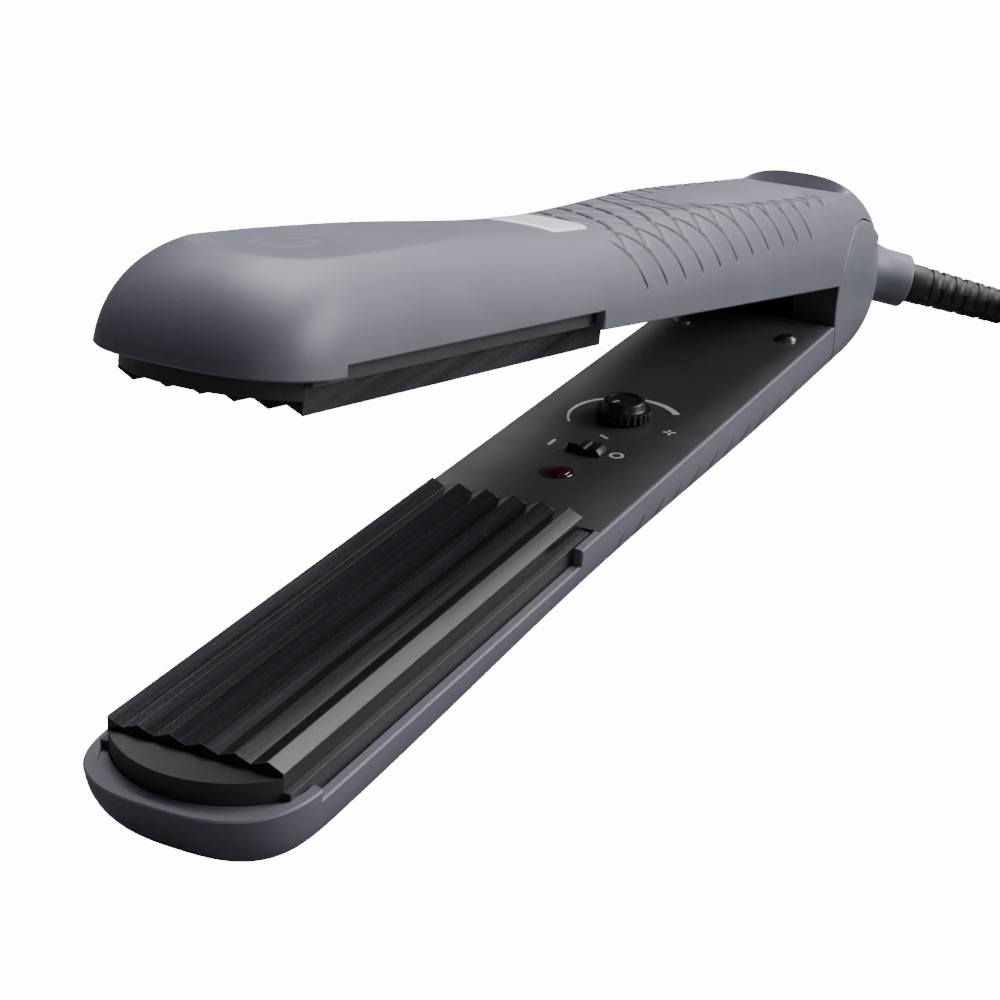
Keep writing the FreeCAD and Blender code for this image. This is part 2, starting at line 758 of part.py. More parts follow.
# The cord leaves the rear end at its right corner, sideways and a little downwards.
CORD_EXIT = Vector(286.9, -22.1, -6.0)
CORD_WAY = Vector(0.510, -0.819, -0.267).normalize()
COLLAR_INSIDE = 17.0
STEM_LENGTH = 10.0
STEM_RADIUS = 4.5
collar_turn = Rotation(Z_AXIS, CORD_WAY)
HINGE_SCREW_SPOTS = ((268.0, -16.5), (272.5, 6.5))
HINGE_SCREW_SEAT = 12.5
HINGE_SCREW_LENGTH = 18.0
SPRING_ROOM = 7.0


def along_cord(distance):
    """A point on the cord's way out, counted from the end of the collar."""
    return CORD_EXIT + CORD_WAY * distance


def hinge_cover(side):
    """One half of the rear end, split at the middle plane, with its bore for the pin."""
    half = box(side + "_half", (200, 0, -40), (320, 60, 60))
    if side == "right":
        half = box(side + "_half", (200, -60, -40), (320, 0, 60))
    block = solid(side + "_block", block_shape)
    blank = combine("Common", side + "_cover_part", block, half)
    tools = [
        solid(side + "_fork", hinge_cylinder(dim("disc_radius") - 2.2, fork_half)),
        box(side + "_front_gap", (230, -fork_half, -15.5), (HINGE.x, fork_half, 25)),
        box(side + "_cord_room", (HINGE.x, -10.5, -14), (279, 10.5, 7)),
        solid(side + "_pin_bore", hinge_cylinder(dim("pin_radius"), dim("pin_span") / 2)),
    ]
    for number, (x, z) in enumerate(HINGE_SCREW_SPOTS):
        tools.append(cylinder(f"{side}_screw_hole_{number}", (x, -8, z), SCREW_RADIUS, 40, ALONG_Y))
        tools.append(cylinder(f"{side}_screw_seat_{number}", (x, HINGE_SCREW_SEAT, z), 2.6, 40, ALONG_Y))
    if side == "left":
        recess = Part.makeCylinder(11.0, SPRING_ROOM, HINGE + Y_AXIS * (fork_half - 0.1), Y_AXIS)
        boss = Part.makeCylinder(5.0, SPRING_ROOM, HINGE + Y_AXIS * (fork_half - 0.1), Y_AXIS)
        tools.append(solid("spring_room", recess.cut(boss)))
    else:
        seat = along_cord(-COLLAR_INSIDE)
        tools.append(cylinder("collar_seat", seat, dim("collar_radius"), COLLAR_INSIDE + 10, collar_turn))
    cover = combine("Cut", side + "_cover_cut", blank, *tools)
    subpart(cover, side + "_hinge_cover", LOWER)


hinge_cover("left")
hinge_cover("right")

collar_spot = along_cord(-COLLAR_INSIDE)
collar_blank = cylinder("collar_blank", collar_spot, dim("collar_radius"), COLLAR_INSIDE, collar_turn)
collar_bore = cylinder("collar_bore", collar_spot, STEM_RADIUS, 2 * COLLAR_INSIDE, collar_turn)
subpart(combine("Cut", "collar", collar_blank, collar_bore), "cord_collar", LOWER)

pin = cylinder("pin", tuple(HINGE - Y_AXIS * (dim("pin_span") / 2)), dim("pin_radius"), dim("pin_span"), ALONG_Y)
pin.setExpression("Radius", "Dimensions.pin_radius")
pin.setExpression("Height", "Dimensions.pin_span")
subpart(pin, "hinge_pin", LOWER)

spring_radius = 8.0
spring_wire = 0.75
spring_pitch = 1.7
spring_turns = 3
helix = Part.makeHelix(spring_pitch, spring_pitch * spring_turns, spring_radius)
wire_section = Part.Wire([Part.makeCircle(spring_wire, Vector(spring_radius, 0, 0), Y_AXIS)])
coil = Part.Wire(helix.Edges).makePipeShell([wire_section], True, True)
spring = solid("spring_coil", coil)
spring.Placement = Placement(HINGE + Y_AXIS * (fork_half + 0.8), ALONG_Y)
subpart(spring, "hinge_spring", LOWER)

WASHER_THICK = 0.8
WASHER_RADIUS = 5.0
washers = []
for number, y in enumerate((-KNUCKLE_HALF - WASHER_THICK - 0.15, KNUCKLE_HALF + 0.15)):
    ring = cylinder(f"washer_ring_{number}", (HINGE.x, y, HINGE.z), WASHER_RADIUS, WASHER_THICK, ALONG_Y)
    hole = cylinder(f"washer_hole_{number}", (HINGE.x, y - 1, HINGE.z), dim("pin_radius"), 4, ALONG_Y)
    washers.append(combine("Cut", f"washer_{number}", ring, hole))
subpart(group("washer_pair", washers), "hinge_washers", LOWER)

knuckle_gap = 0.06
barrel = cylinder(
    "barrel",
    (HINGE.x, -KNUCKLE_HALF, HINGE.z),
    dim("knuckle_radius"),
    dim("knuckle_width"),
    ALONG_Y,
)
web = box("web", (HINGE.x - 5, -KNUCKLE_HALF, HINGE.z), (HINGE.x + 4, KNUCKLE_HALF, ARM_HIGH))
tongue = box("tongue", (222, -KNUCKLE_HALF, ARM_LOW), (HINGE.x + 2, KNUCKLE_HALF, ARM_HIGH))
bore = cylinder("barrel_bore", (HINGE.x, -20, HINGE.z), dim("pin_radius") + knuckle_gap, 40, ALONG_Y)
knuckle = combine("Cut", "knuckle", combine("Fuse", "knuckle_blank", barrel, web, tongue), bore)
subpart(knuckle, "hinge_knuckle", UPPER_PARALLEL)

hinge_screws = []
for number, (x, z) in enumerate(HINGE_SCREW_SPOTS):
    screw = make_screw(f"hinge_screw_{number}", HINGE_SCREW_LENGTH)
    screw.Placement = Placement(Vector(x, HINGE_SCREW_SEAT, z), ALONG_Y)
    hinge_screws.append(screw)
subpart(group("hinge_screw_pair", hinge_screws), "hinge_screws", LOWER)

# --------------------------------------------------------------------- Name badge

badge_depth = dim("upper_waist_depth")
badge_profile = [(98.5, -8), (114.5, -8), (114.5, 8), (98.5, 8)]
badge = padded("badge_plate", "XY_Plane", badge_profile, 1.0)
badge.Placement = Placement(Vector(0, 0, -badge_depth - 0.35), NO_TURN)
subpart(badge, "badge", UPPER)

# ------------------------------------------------------- Cord and what it carries

relief_ribs = 8
collar_run = 5.0
root = dim("relief_root_radius")
tip = dim("relief_tip_radius")
relief_points = [(0, -STEM_LENGTH), (STEM_RADIUS, -STEM_LENGTH), (STEM_RADIUS, 0)]
relief_points += [(root, 0), (root, collar_run)]
rib_pitch = (dim("relief_length") - collar_run) / relief_ribs
for rib in range(relief_ribs):
    low = collar_run + rib * rib_pitch
    radius = root + (tip - root) * (rib + 1) / relief_ribs
    groove = radius - 0.9
    relief_points += [(groove, low), (groove, low + rib_pitch * 0.35), (radius, low + rib_pitch * 0.35)]
    relief_points.append((radius, low + rib_pitch))
relief_points.append((0, dim("relief_length")))
relief = turned("relief", relief_points)
relief.Placement = Placement(CORD_EXIT, collar_turn)
subpart(relief, "strain_relief", LOWER)

floor = -dim("plate_height") + dim("cord_rest")
cord_start = along_cord(dim("relief_length"))
HANK_REAR = Vector(299.9, -86.5, 0)
HANK_WAY = Vector(-0.995, -0.1, 0).normalize()
HANK_RUN = 54.0
HANK_LAYERS = 4
hank_radius = dim("hank_mean_radius")
hank_outer = hank_radius + 2 * dim("cord_radius")
hank_inner = hank_radius - 2 * dim("cord_radius")
hank_height = 2 * HANK_LAYERS * dim("cord_radius")
cord_points = [
    cord_start,
    along_cord(dim("relief_length") + 16.3),
    Vector(317.0, -71.5, floor),
    Vector(320.9, -84.4, floor),
]
cord_tube = solid("cord_run", route_shape(cord_points, dim("cord_radius"), BEND_RATIO))
subpart(cord_tube, "power_cord", LOWER)


def hank_block(name, radius):
    """Outline of the folded cord: two round ends and the straight runs between them."""
    table = -Z_AXIS * dim("plate_height")
    rear = cylinder(name + "_rear", HANK_REAR + table, radius, hank_height)
    front = cylinder(name + "_front", HANK_REAR + HANK_WAY * HANK_RUN + table, radius, hank_height)
    runs = box(name + "_runs", (0, -radius, 0), (HANK_RUN, radius, hank_height))
    turn = Rotation(HANK_WAY, Z_AXIS.cross(HANK_WAY), Z_AXIS, "XYZ")
    runs.Placement = Placement(HANK_REAR + table, turn) * runs.Placement
    return combine("Fuse", name, combine("Fuse", name + "_half", rear, runs), front)


hank = combine("Cut", "hank", hank_block("hank_outline", hank_outer), hank_block("hank_hole", hank_inner))
subpart(hank, "cord_coil", LOWER)

tail_points = [
    Vector(258.0, -112.6, floor),
    Vector(243.0, -115.0, floor),
    Vector(229.0, -113.4, floor),
    Vector(215.0, -110.6, floor),
]
cord_tail = solid("cord_end", route_shape(tail_points, dim("cord_radius"), BEND_RATIO))
subpart(cord_tail, "cord_tail", LOWER)

PLUG_LENGTH = 36.0
plug_way = (tail_points[-1] - tail_points[-2]).normalize()
plug_turn = Rotation(plug_way, Z_AXIS.cross(plug_way), Z_AXIS, "XYZ")
plug_place = Placement(tail_points[-1], plug_turn)
plug_outline = [(0, -4.5), (6, -5.5), (12, -8), (18, -15), (PLUG_LENGTH, -17.5)]
plug_outline += [(x, -y) for x, y in reversed(plug_outline)]
plug = padded("plug", "XY_Plane", plug_outline, 12.0)
plug.Placement = Placement(Vector(0, 0, -dim("cord_rest")), NO_TURN)
subpart(plug, "plug_body", LOWER * plug_place)

PLUG_PIN_RADIUS = 2.0
PLUG_PIN_LENGTH = 19.0
PLUG_PIN_SPACING = 19.0
PLUG_MIDDLE = 6.0 - dim("cord_rest")
pins = []
for number, side in enumerate((-1, 1)):
    spot = (PLUG_LENGTH, side * PLUG_PIN_SPACING / 2, PLUG_MIDDLE)
    shank = cylinder(f"plug_pin_{number}", spot, PLUG_PIN_RADIUS, PLUG_PIN_LENGTH - 2, ALONG_X)
    end = (PLUG_LENGTH + PLUG_PIN_LENGTH - 2, side * PLUG_PIN_SPACING / 2, PLUG_MIDDLE)
    tip_ball = primitive("Part::Sphere", f"plug_pin_tip_{number}", Vector(*end), Radius=PLUG_PIN_RADIUS)
    pins.append(combine("Fuse", f"plug_pin_set_{number}", shank, tip_ball))
subpart(group("plug_pin_pair", pins), "plug_pins", LOWER * plug_place)

lead_start = along_cord(-STEM_LENGTH - 0.2)
mains_route = [
    lead_start,
    along_cord(-STEM_LENGTH - 9),
    Vector(264.0, -1.5, -10.0),
    Vector(250.0, 0, -12.6),
    Vector(228.0, 0, -12.6),
    Vector(212.0, 0, -13.2),
    Vector(196.2, 0, board_top - 0.9),
]
mains_lead = solid("mains_run", route_shape(mains_route, 1.5, BEND_RATIO))
subpart(mains_lead, "mains_lead", LOWER)

# ------------------------------------------------------------------------- Write

doc.recompute()
failed = [item.Name for item in doc.Objects if {"Invalid", "Error"} & set(item.State)]
if failed:
    raise RuntimeError("features failed: " + ", ".join(failed))
for item in subparts:
    if item.Shape.isNull() or not item.Shape.isValid() or not item.Shape.Solids:
        raise RuntimeError("no valid solid: " + item.Label)
for item in subparts:
    item.Shape.exportStep(f"parts/{item.Label}.step")
    print(item.Label, len(item.Shape.Solids), "solids", round(item.Shape.Volume), "mm3")
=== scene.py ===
import math

import bmesh
import bpy
import numpy as np
from mathutils import Matrix, Vector


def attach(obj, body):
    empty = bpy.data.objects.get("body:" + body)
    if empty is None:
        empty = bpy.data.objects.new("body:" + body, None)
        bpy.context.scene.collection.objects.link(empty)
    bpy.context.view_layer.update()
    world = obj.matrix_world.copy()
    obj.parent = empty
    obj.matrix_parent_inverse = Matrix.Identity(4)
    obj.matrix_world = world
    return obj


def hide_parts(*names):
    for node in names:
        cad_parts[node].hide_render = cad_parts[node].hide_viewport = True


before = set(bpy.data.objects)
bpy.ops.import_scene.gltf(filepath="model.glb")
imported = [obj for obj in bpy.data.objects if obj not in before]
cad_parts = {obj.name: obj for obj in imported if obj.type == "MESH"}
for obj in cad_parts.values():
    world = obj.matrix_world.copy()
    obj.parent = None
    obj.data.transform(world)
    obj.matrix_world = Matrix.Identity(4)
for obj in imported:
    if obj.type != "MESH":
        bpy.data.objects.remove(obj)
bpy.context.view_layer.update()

# Shapes are worked out in millimetres, each in the frame of the arm that carries it: x runs from the front
# edge of the heating plates to the hinge, y across, and z is level with the plate's tooth peaks. The hollow
# of each arm's shell opens to +z, so the upper arm's frame is upside down.

MM = 0.001
HINGE = Vector((257.5, 0.0, -1.3))
OPEN_ANGLE = math.radians(12.016)
LOWER = Matrix.Translation((-137.5, 0, 21.5))
SWING = Matrix.Translation(HINGE) @ Matrix.Rotation(OPEN_ANGLE, 4, "Y") @ Matrix.Translation(-HINGE)
FLIP = Matrix.Translation((0.63, 0, 0.4)) @ Matrix.Rotation(math.pi, 4, "X")
UPPER = LOWER @ SWING @ FLIP
TABLE = -21.5
# Turns an outline that is drawn across and up, and extruded, to run along x.
ALONG_X = Matrix(((0, 0, 1, 0), (1, 0, 0, 0), (0, 1, 0, 0), (0, 0, 0, 1)))

# ------------------------------------------------------------------ Materials


def new_material(name):
    """A node material that holds one Principled shader, with its node tree and that shader."""
    material = bpy.data.materials.new(name)
    material.use_nodes = True
    tree = material.node_tree
    tree.nodes.clear()
    output = tree.nodes.new("ShaderNodeOutputMaterial")
    shader = tree.nodes.new("ShaderNodeBsdfPrincipled")
    tree.links.new(shader.outputs["BSDF"], output.inputs["Surface"])
    return material, tree, shader


def add_node(tree, kind, settings=None, **inputs):
    """A node with its plain settings, its inputs given as values or as sockets to link."""
    node = tree.nodes.new(kind)
    for name, value in (settings or {}).items():
        setattr(node, name, value)
    for name, value in inputs.items():
        key = int(name[1:]) if name[0] == "i" and name[1:].isdigit() else name.replace("_", " ")
        socket = node.inputs[key]
        if isinstance(value, bpy.types.NodeSocket):
            tree.links.new(value, socket)
        else:
            socket.default_value = value
    return node


def noise(tree, scale, detail=4.0, roughness=0.5, distortion=0.0, stretch=(1, 1, 1)):
    """Noise over the object's own coordinates, in features per metre."""
    place = add_node(tree, "ShaderNodeTexCoord")
    mapping = add_node(tree, "ShaderNodeMapping", Vector=place.outputs["Object"], Scale=stretch)
    return add_node(
        tree,
        "ShaderNodeTexNoise",
        Vector=mapping.outputs["Vector"],
        Scale=scale,
        Detail=detail,
        Roughness=roughness,
        Distortion=distortion,
    ).outputs["Fac"]


def ramp(tree, factor, low, high, low_at=0.3, high_at=0.7):
    """Maps a factor to a plain range."""
    node = add_node(tree, "ShaderNodeMapRange", Value=factor)
    node.inputs["From Min"].default_value = low_at
    node.inputs["From Max"].default_value = high_at
    node.inputs["To Min"].default_value = low
    node.inputs["To Max"].default_value = high
    return node.outputs["Result"]


def mix_colour(tree, factor, first, second):
    node = add_node(tree, "ShaderNodeMix", {"data_type": "RGBA"})
    for index, value in ((0, factor), (6, first), (7, second)):
        if isinstance(value, bpy.types.NodeSocket):
            tree.links.new(value, node.inputs[index])
        else:
            node.inputs[index].default_value = value
    return node.outputs[2]


def bump(tree, height, strength, distance, base=None):
    node = add_node(tree, "ShaderNodeBump", Height=height, Strength=strength, Distance=distance)
    if base is not None:
        tree.links.new(base, node.inputs["Normal"])
    return node.outputs["Normal"]


def edges_worn_and_highlit(tree, low, high, radius=0.00016):
    """High along sharp edges, where a lighter colour stands for edge wear and for a painted highlight: there
    the rounded normal leaves the flat one.
    """
    geometry = add_node(tree, "ShaderNodeNewGeometry")
    rounded_edge = add_node(tree, "ShaderNodeBevel", {"samples": 6}, Radius=radius)
    likeness = add_node(
        tree,
        "ShaderNodeVectorMath",
        {"operation": "DOT_PRODUCT"},
        i0=rounded_edge.outputs["Normal"],
        i1=geometry.outputs["Normal"],
    )
    return ramp(tree, likeness.outputs["Value"], high, low, 0.93, 0.995)


def grey(value, tint=0.0):
    return (value, value * (1 + tint * 0.1), value * (1 + tint), 1.0)


def clouded(tree, factor, first, second):
    """Two close colours that a noise mixes."""
    return mix_colour(tree, ramp(tree, factor, 0.0, 1.0), first, second)


def dusted(tree, colour, scale, amount, threshold, speck):
    """A colour with a few specks over it, where a noise rises past the threshold."""
    specks = noise(tree, scale, 1.0, 0.2)
    cover = ramp(tree, specks, 0.0, amount, threshold, threshold + 0.05)
    return mix_colour(tree, cover, colour, speck)


def moulded(name, dark, light, rough=(0.38, 0.5), grain=2600.0, grain_depth=0.00003, tint=0.12, dust=0.0):
    """Moulded plastic: a fine grain, cloudy colour and sheen, edges lightened for wear and as a painted
    highlight, and a few specks of dust.
    """
    material, tree, shader = new_material(name)
    cloud = noise(tree, 45.0, 5.0, 0.55)
    colour = clouded(tree, cloud, grey(dark, tint), grey(light, tint))
    # The edges get a lighter colour: edge wear, and a painted highlight where they would catch the light.
    edge_wear_sheen = edges_worn_and_highlit(tree, 0.0, 0.35)
    colour = mix_colour(tree, edge_wear_sheen, colour, grey(light * 1.9, tint))
    if dust > 0.0:
        colour = dusted(tree, colour, 1500.0, dust, 0.79, grey(0.2))
    tree.links.new(colour, shader.inputs["Base Color"])
    smear = noise(tree, 90.0, 6.0, 0.6, 0.8, (1.0, 1.0, 2.5))
    tree.links.new(ramp(tree, smear, rough[0], rough[1]), shader.inputs["Roughness"])
    fine = noise(tree, grain, 2.0, 0.5)
    round_edge = add_node(tree, "ShaderNodeBevel", {"samples": 4}, Radius=0.0003)
    normal = bump(tree, fine, 0.35, grain_depth, round_edge.outputs["Normal"])
    tree.links.new(normal, shader.inputs["Normal"])
    return material


def shell_material(name):
    """The arms' satin plastic, with painted shade on the floor of the grip's engraved lines and lighter edges
    for wear and painted highlight.
    """
    material, tree, shader = new_material(name)
    cloud = noise(tree, 38.0, 5.0, 0.55)
    colour = clouded(tree, cloud, (0.130, 0.130, 0.168, 1), (0.152, 0.152, 0.192, 1))
    # The edges get a lighter colour: edge wear, and a painted highlight where they would catch the light.
    edge_wear_sheen = edges_worn_and_highlit(tree, 0.0, 0.4)
    colour = mix_colour(tree, edge_wear_sheen, colour, (0.24, 0.245, 0.28, 1))
    # Painted shade: the grip's grooves are darkened by their depth share, as shade falls in the recess.
    engraved = add_node(tree, "ShaderNodeAttribute", {"attribute_name": "engraved"}).outputs["Fac"]
    floor = ramp(tree, engraved, 0.0, 0.95, 0.06, 0.40)
    colour = mix_colour(tree, floor, colour, (0.012, 0.012, 0.018, 1))
    colour = dusted(tree, colour, 1300.0, 0.4, 0.80, (0.25, 0.26, 0.30, 1))
    tree.links.new(colour, shader.inputs["Base Color"])
    smear = noise(tree, 70.0, 6.0, 0.6, 0.8, (0.6, 1.0, 1.0))
    tree.links.new(ramp(tree, smear, 0.40, 0.50), shader.inputs["Roughness"])
    fine = noise(tree, 3000.0, 2.0, 0.5)
    tree.links.new(bump(tree, fine, 0.25, 0.00002), shader.inputs["Normal"])
    return material


def metal(name, colour, rough=(0.22, 0.38), brushed=(1, 1, 1), grain=900.0):
    material, tree, shader = new_material(name)
    streaks = noise(tree, grain, 4.0, 0.6, 0.0, brushed)
    shade = clouded(tree, streaks, (*[part * 0.82 for part in colour], 1), (*colour, 1))
    tree.links.new(shade, shader.inputs["Base Color"])
    shader.inputs["Metallic"].default_value = 1.0
    tree.links.new(ramp(tree, streaks, rough[0], rough[1]), shader.inputs["Roughness"])
    tree.links.new(bump(tree, streaks, 0.15, 0.00003), shader.inputs["Normal"])
    return material


def coated_plate(name):
    """Glossy dark coating over drawn aluminium: faint lengthwise lines, a painted highlight along the tooth
    edges, dust.
    """
    material, tree, shader = new_material(name)
    lines = noise(tree, 500.0, 4.0, 0.6, 0.0, (0.02, 1.0, 1.0))
    colour = clouded(tree, lines, (0.012, 0.012, 0.016, 1), (0.030, 0.030, 0.038, 1))
    # Painted highlight: the tooth crests and edges get a bright grey, where the glossy coating would catch
    # the light.
    edge_wear_sheen = edges_worn_and_highlit(tree, 0.0, 0.55)
    colour = mix_colour(tree, edge_wear_sheen, colour, (0.42, 0.43, 0.47, 1))
    colour = dusted(tree, colour, 1100.0, 0.4, 0.79, (0.12, 0.12, 0.14, 1))
    tree.links.new(colour, shader.inputs["Base Color"])
    shader.inputs["Metallic"].default_value = 0.1
    tree.links.new(ramp(tree, lines, 0.16, 0.30), shader.inputs["Roughness"])
    tree.links.new(bump(tree, lines, 0.12, 0.00003), shader.inputs["Normal"])
    return material


def printed(name, value):
    """Screen-printed ink with slightly uneven cover."""
    material, tree, shader = new_material(name)
    cover = noise(tree, 2500.0, 3.0, 0.6)
    colour = clouded(tree, cover, grey(value * 0.8), grey(value))
    tree.links.new(colour, shader.inputs["Base Color"])
    shader.inputs["Roughness"].default_value = 0.55
    return material


def clear_lens(name):
    """Dark tinted translucent lens."""
    material, tree, shader = new_material(name)
    depth = noise(tree, 700.0, 3.0, 0.5)
    colour = clouded(tree, depth, (0.035, 0.006, 0.006, 1), (0.07, 0.012, 0.010, 1))
    tree.links.new(colour, shader.inputs["Base Color"])
    shader.inputs["Roughness"].default_value = 0.08
    shader.inputs["Coat Weight"].default_value = 0.8
    shader.inputs["Transmission Weight"].default_value = 0.25
    return material


SHELL = shell_material("shell_satin_plastic")
INNER = moulded("inner_panel_plastic", 0.050, 0.062, (0.34, 0.46), 2400.0, dust=0.35)
HOLDER = moulded("holder_heatproof_plastic", 0.035, 0.048, (0.42, 0.55), 2000.0, dust=0.4)
HINGE_PLASTIC = moulded("hinge_satin_plastic", 0.130, 0.152, (0.40, 0.50), 3000.0, 0.00002, 0.27, 0.3)
KNOB = moulded("knob_black_plastic", 0.010, 0.016, (0.30, 0.42), 2200.0)
RELIEF = moulded("relief_rubber", 0.010, 0.016, (0.42, 0.58), 1500.0, 0.00005, 0.2, 0.35)
CORD = moulded("cord_rubber", 0.012, 0.018, (0.40, 0.52), 1800.0, 0.00004, 0.15, 0.3)
PLUG = moulded("plug_plastic", 0.012, 0.020, (0.32, 0.45), 2200.0)
BADGE = moulded("badge_gloss_plastic", 0.86, 0.92, (0.16, 0.24), 900.0, 0.00001, 0.0)
PLATE = coated_plate("crimp_plate_coating")
INK = printed("white_ink", 0.75)
LENS = clear_lens("indicator_lens_tint")
STEEL = metal("spring_steel_sheet", (0.52, 0.52, 0.54), (0.25, 0.4), (0.05, 1, 1))
ZINC = metal("zinc_plated_screw", (0.62, 0.63, 0.66), (0.2, 0.35))
BRASS = metal("nickel_plug_pin", (0.72, 0.70, 0.64), (0.14, 0.26), (0.05, 1, 1))
CERAMIC = moulded("heater_ceramic", 0.62, 0.72, (0.5, 0.7), 1800.0, tint=-0.06)
BOARD = moulded("board_laminate", 0.05, 0.08, (0.35, 0.5), 1500.0, tint=-0.5)
LEAD = moulded("lead_sleeve", 0.55, 0.7, (0.5, 0.65), 2500.0, tint=-0.1)

# --------------------------------------------------------------- Mesh helpers


def to_row(place):
    return Matrix.Scale(MM, 4) @ place


def clean(mesh_editor, weld=0.002):
    """Weld seams, drop collapsed faces and turn every face outwards."""
    bmesh.ops.remove_doubles(mesh_editor, verts=mesh_editor.verts, dist=weld)
    bmesh.ops.dissolve_degenerate(mesh_editor, edges=mesh_editor.edges, dist=weld)
    bmesh.ops.recalc_face_normals(mesh_editor, faces=mesh_editor.faces)


def add_object(name, data):
    item = bpy.data.objects.new(name, data)
    bpy.context.scene.collection.objects.link(item)
    return item


def finish_piece(editor, name, place, material, body, replaces=(), sharp=35.0):
    """Turn an edited mesh in millimetres into a named piece of the row frame."""
    editor.transform(to_row(place))
    mesh = bpy.data.meshes.new(name)
    editor.to_mesh(mesh)
    editor.free()
    mesh.shade_smooth()
    mesh.set_sharp_from_angle(angle=math.radians(sharp))
    for item in material if isinstance(material, list) else [material]:
        mesh.materials.append(item)
    piece = add_object(name, mesh)
    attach(piece, body)
    if replaces:
        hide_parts(*replaces)
    return piece


def fill_grid(editor, points, close_u=False, close_v=False):
    """Quads over a grid of points [row][column]; returns its vertices."""
    vertices = [[editor.verts.new(point) for point in row] for row in points]
    rows = len(vertices)
    columns = len(vertices[0])
    for row in range(rows if close_v else rows - 1):
        for column in range(columns if close_u else columns - 1):
            corners = (
                vertices[row][column],
                vertices[row][(column + 1) % columns],
                vertices[(row + 1) % rows][(column + 1) % columns],
                vertices[(row + 1) % rows][column],
            )
            if len(set(corners)) == 4:
                editor.faces.new(corners)
    return vertices


def turned_grid(editor, profile, steps, origin=Vector(), axis=Vector((0, 0, 1)), side=None):
    """Revolve (radius, height) points about an axis; a radius may also be a function of the angle."""
    side = side or axis.orthogonal().normalized()
    across = axis.cross(side)
    rows = []
    for radius, height in profile:
        row = []
        for step in range(steps):
            angle = 2 * math.pi * step / steps
            reach = radius(angle) if callable(radius) else radius
            spoke = side * math.cos(angle) + across * math.sin(angle)
            row.append(origin + axis * height + spoke * reach)
        rows.append(row)
    return fill_grid(editor, rows, close_u=True)


def rounded_profile(points, radius, steps=3):
    """Replace each inner corner of a (radius, height) profile with a small arc."""
    result = [points[0]]
    for before, corner, after in zip(points, points[1:], points[2:]):
        corner = Vector(corner)
        back = Vector(before) - corner
        ahead = Vector(after) - corner
        reach = min(radius, back.length * 0.45, ahead.length * 0.45)
        enter = corner + back.normalized() * reach
        leave = corner + ahead.normalized() * reach
        for step in range(steps + 1):
            share = step / steps
            point = enter.lerp(corner, share).lerp(corner.lerp(leave, share), share)
            result.append((point.x, point.y))
    result.append(points[-1])
    return result


def extruded(editor, outline, low, high, bevel=0.0, segments=2, edges=None):
    """A prism of an (x, y) outline between two heights, its edges rounded."""
    bottom = [editor.verts.new((x, y, low)) for x, y in outline]
    top = [editor.verts.new((x, y, high)) for x, y in outline]
    editor.faces.new(list(reversed(bottom)))
    editor.faces.new(top)
    count = len(outline)
    for index in range(count):
        after = (index + 1) % count
        editor.faces.new((bottom[index], bottom[after], top[after], top[index]))
    if bevel > 0.0:
        top_set = set(top)
        chosen = [edge for edge in editor.edges if set(edge.verts) <= top_set or edges == "all"]
        bmesh.ops.bevel(editor, geom=chosen, offset=bevel, segments=segments, affect="EDGES", profile=0.5)


# ------------------------------------------------------------- Arm shell form

# Superelliptic plan and section, heights along the arm, then the rim's levels, steps and rebate.
HALF_WIDTH = 20.0
NOSE_LENGTH = 12.0
NOSE_ROUND = 20.0
DOME_ROUND = 26.0
BASE = 1.5
SECTION_POWER = 2.8
NOSE_POWER = 2.7
DOME_POWER = 2.3
WALL = 1.8
FRONT_X = 15.0
WAIST_X = 112.0
GRIP_X = 212.0
NOSE_CENTRE = 14.0
FRONT_RIM = -5.7
PLATE_RIM = -7.5
HANDLE_RIM = -4.1
HANDLE_START = 99.0
RECESS_START = 5.0
DISC_REACH = 18.1
GRIP_START = 112.0
GRIP_END = 236.0
CAVITY_END = 234.0
COVER_START = 108.0
COVER_END = 239.0
REBATE_Y = 19.4
REBATE_DEPTH = 1.95
CHAMFER = 0.3
SHOULDER = math.radians(38.0)
REAR_REACH = 29.5
REAR_TOP = 26.0
REAR_BOTTOM = 20.6
RING_BASE = 3.2

ARMS = {
    "lower": {"depths": (21.9, 19.5, 21.9), "rise": 0.0, "hinge": (257.5, -1.3), "right": -1, "tail": False},
    "upper": {"depths": (23.4, 20.3, 24.9), "rise": 0.0185, "hinge": (256.87, 1.7), "right": 1, "tail": True},
}


def rounded(share, power):
    """Height of a superelliptic quarter round, 0 to 1."""
    share = np.clip(share, 0.0, 1.0)
    return (1 - (1 - share) ** power) ** (1 / power)


def smooth_step(share):
    share = np.clip(share, 0.0, 1.0)
    return share * share * (3 - 2 * share)


def arm_depth(arm, x):
    front, waist, grip = arm["depths"]
    ahead = front + (waist - front) * smooth_step((x - FRONT_X) / (WAIST_X - FRONT_X))
    behind = waist + (grip - waist) * smooth_step((x - WAIST_X) / (GRIP_X - WAIST_X))
    return np.where(x < WAIST_X, ahead, behind)


def half_width(x, inset=0.0):
    return (HALF_WIDTH - inset) * rounded((x + NOSE_LENGTH - inset) / NOSE_ROUND, NOSE_POWER)


def arm_height(arm, x, inset=0.0):
    share = rounded((x + NOSE_LENGTH - inset) / DOME_ROUND, DOME_POWER)
    return (arm_depth(arm, x) - inset - BASE) * share


def rim_level(arm, x):
    """Height of the handle's rim, which slopes a little on the upper arm."""
    return HANDLE_RIM + arm["rise"] * max(x - HANDLE_START, 0.0)


def superellipse(share):
    return np.clip(1 - np.clip(share, 0.0, 1.0) ** SECTION_POWER, 0.0, 1.0) ** (1 / SECTION_POWER)


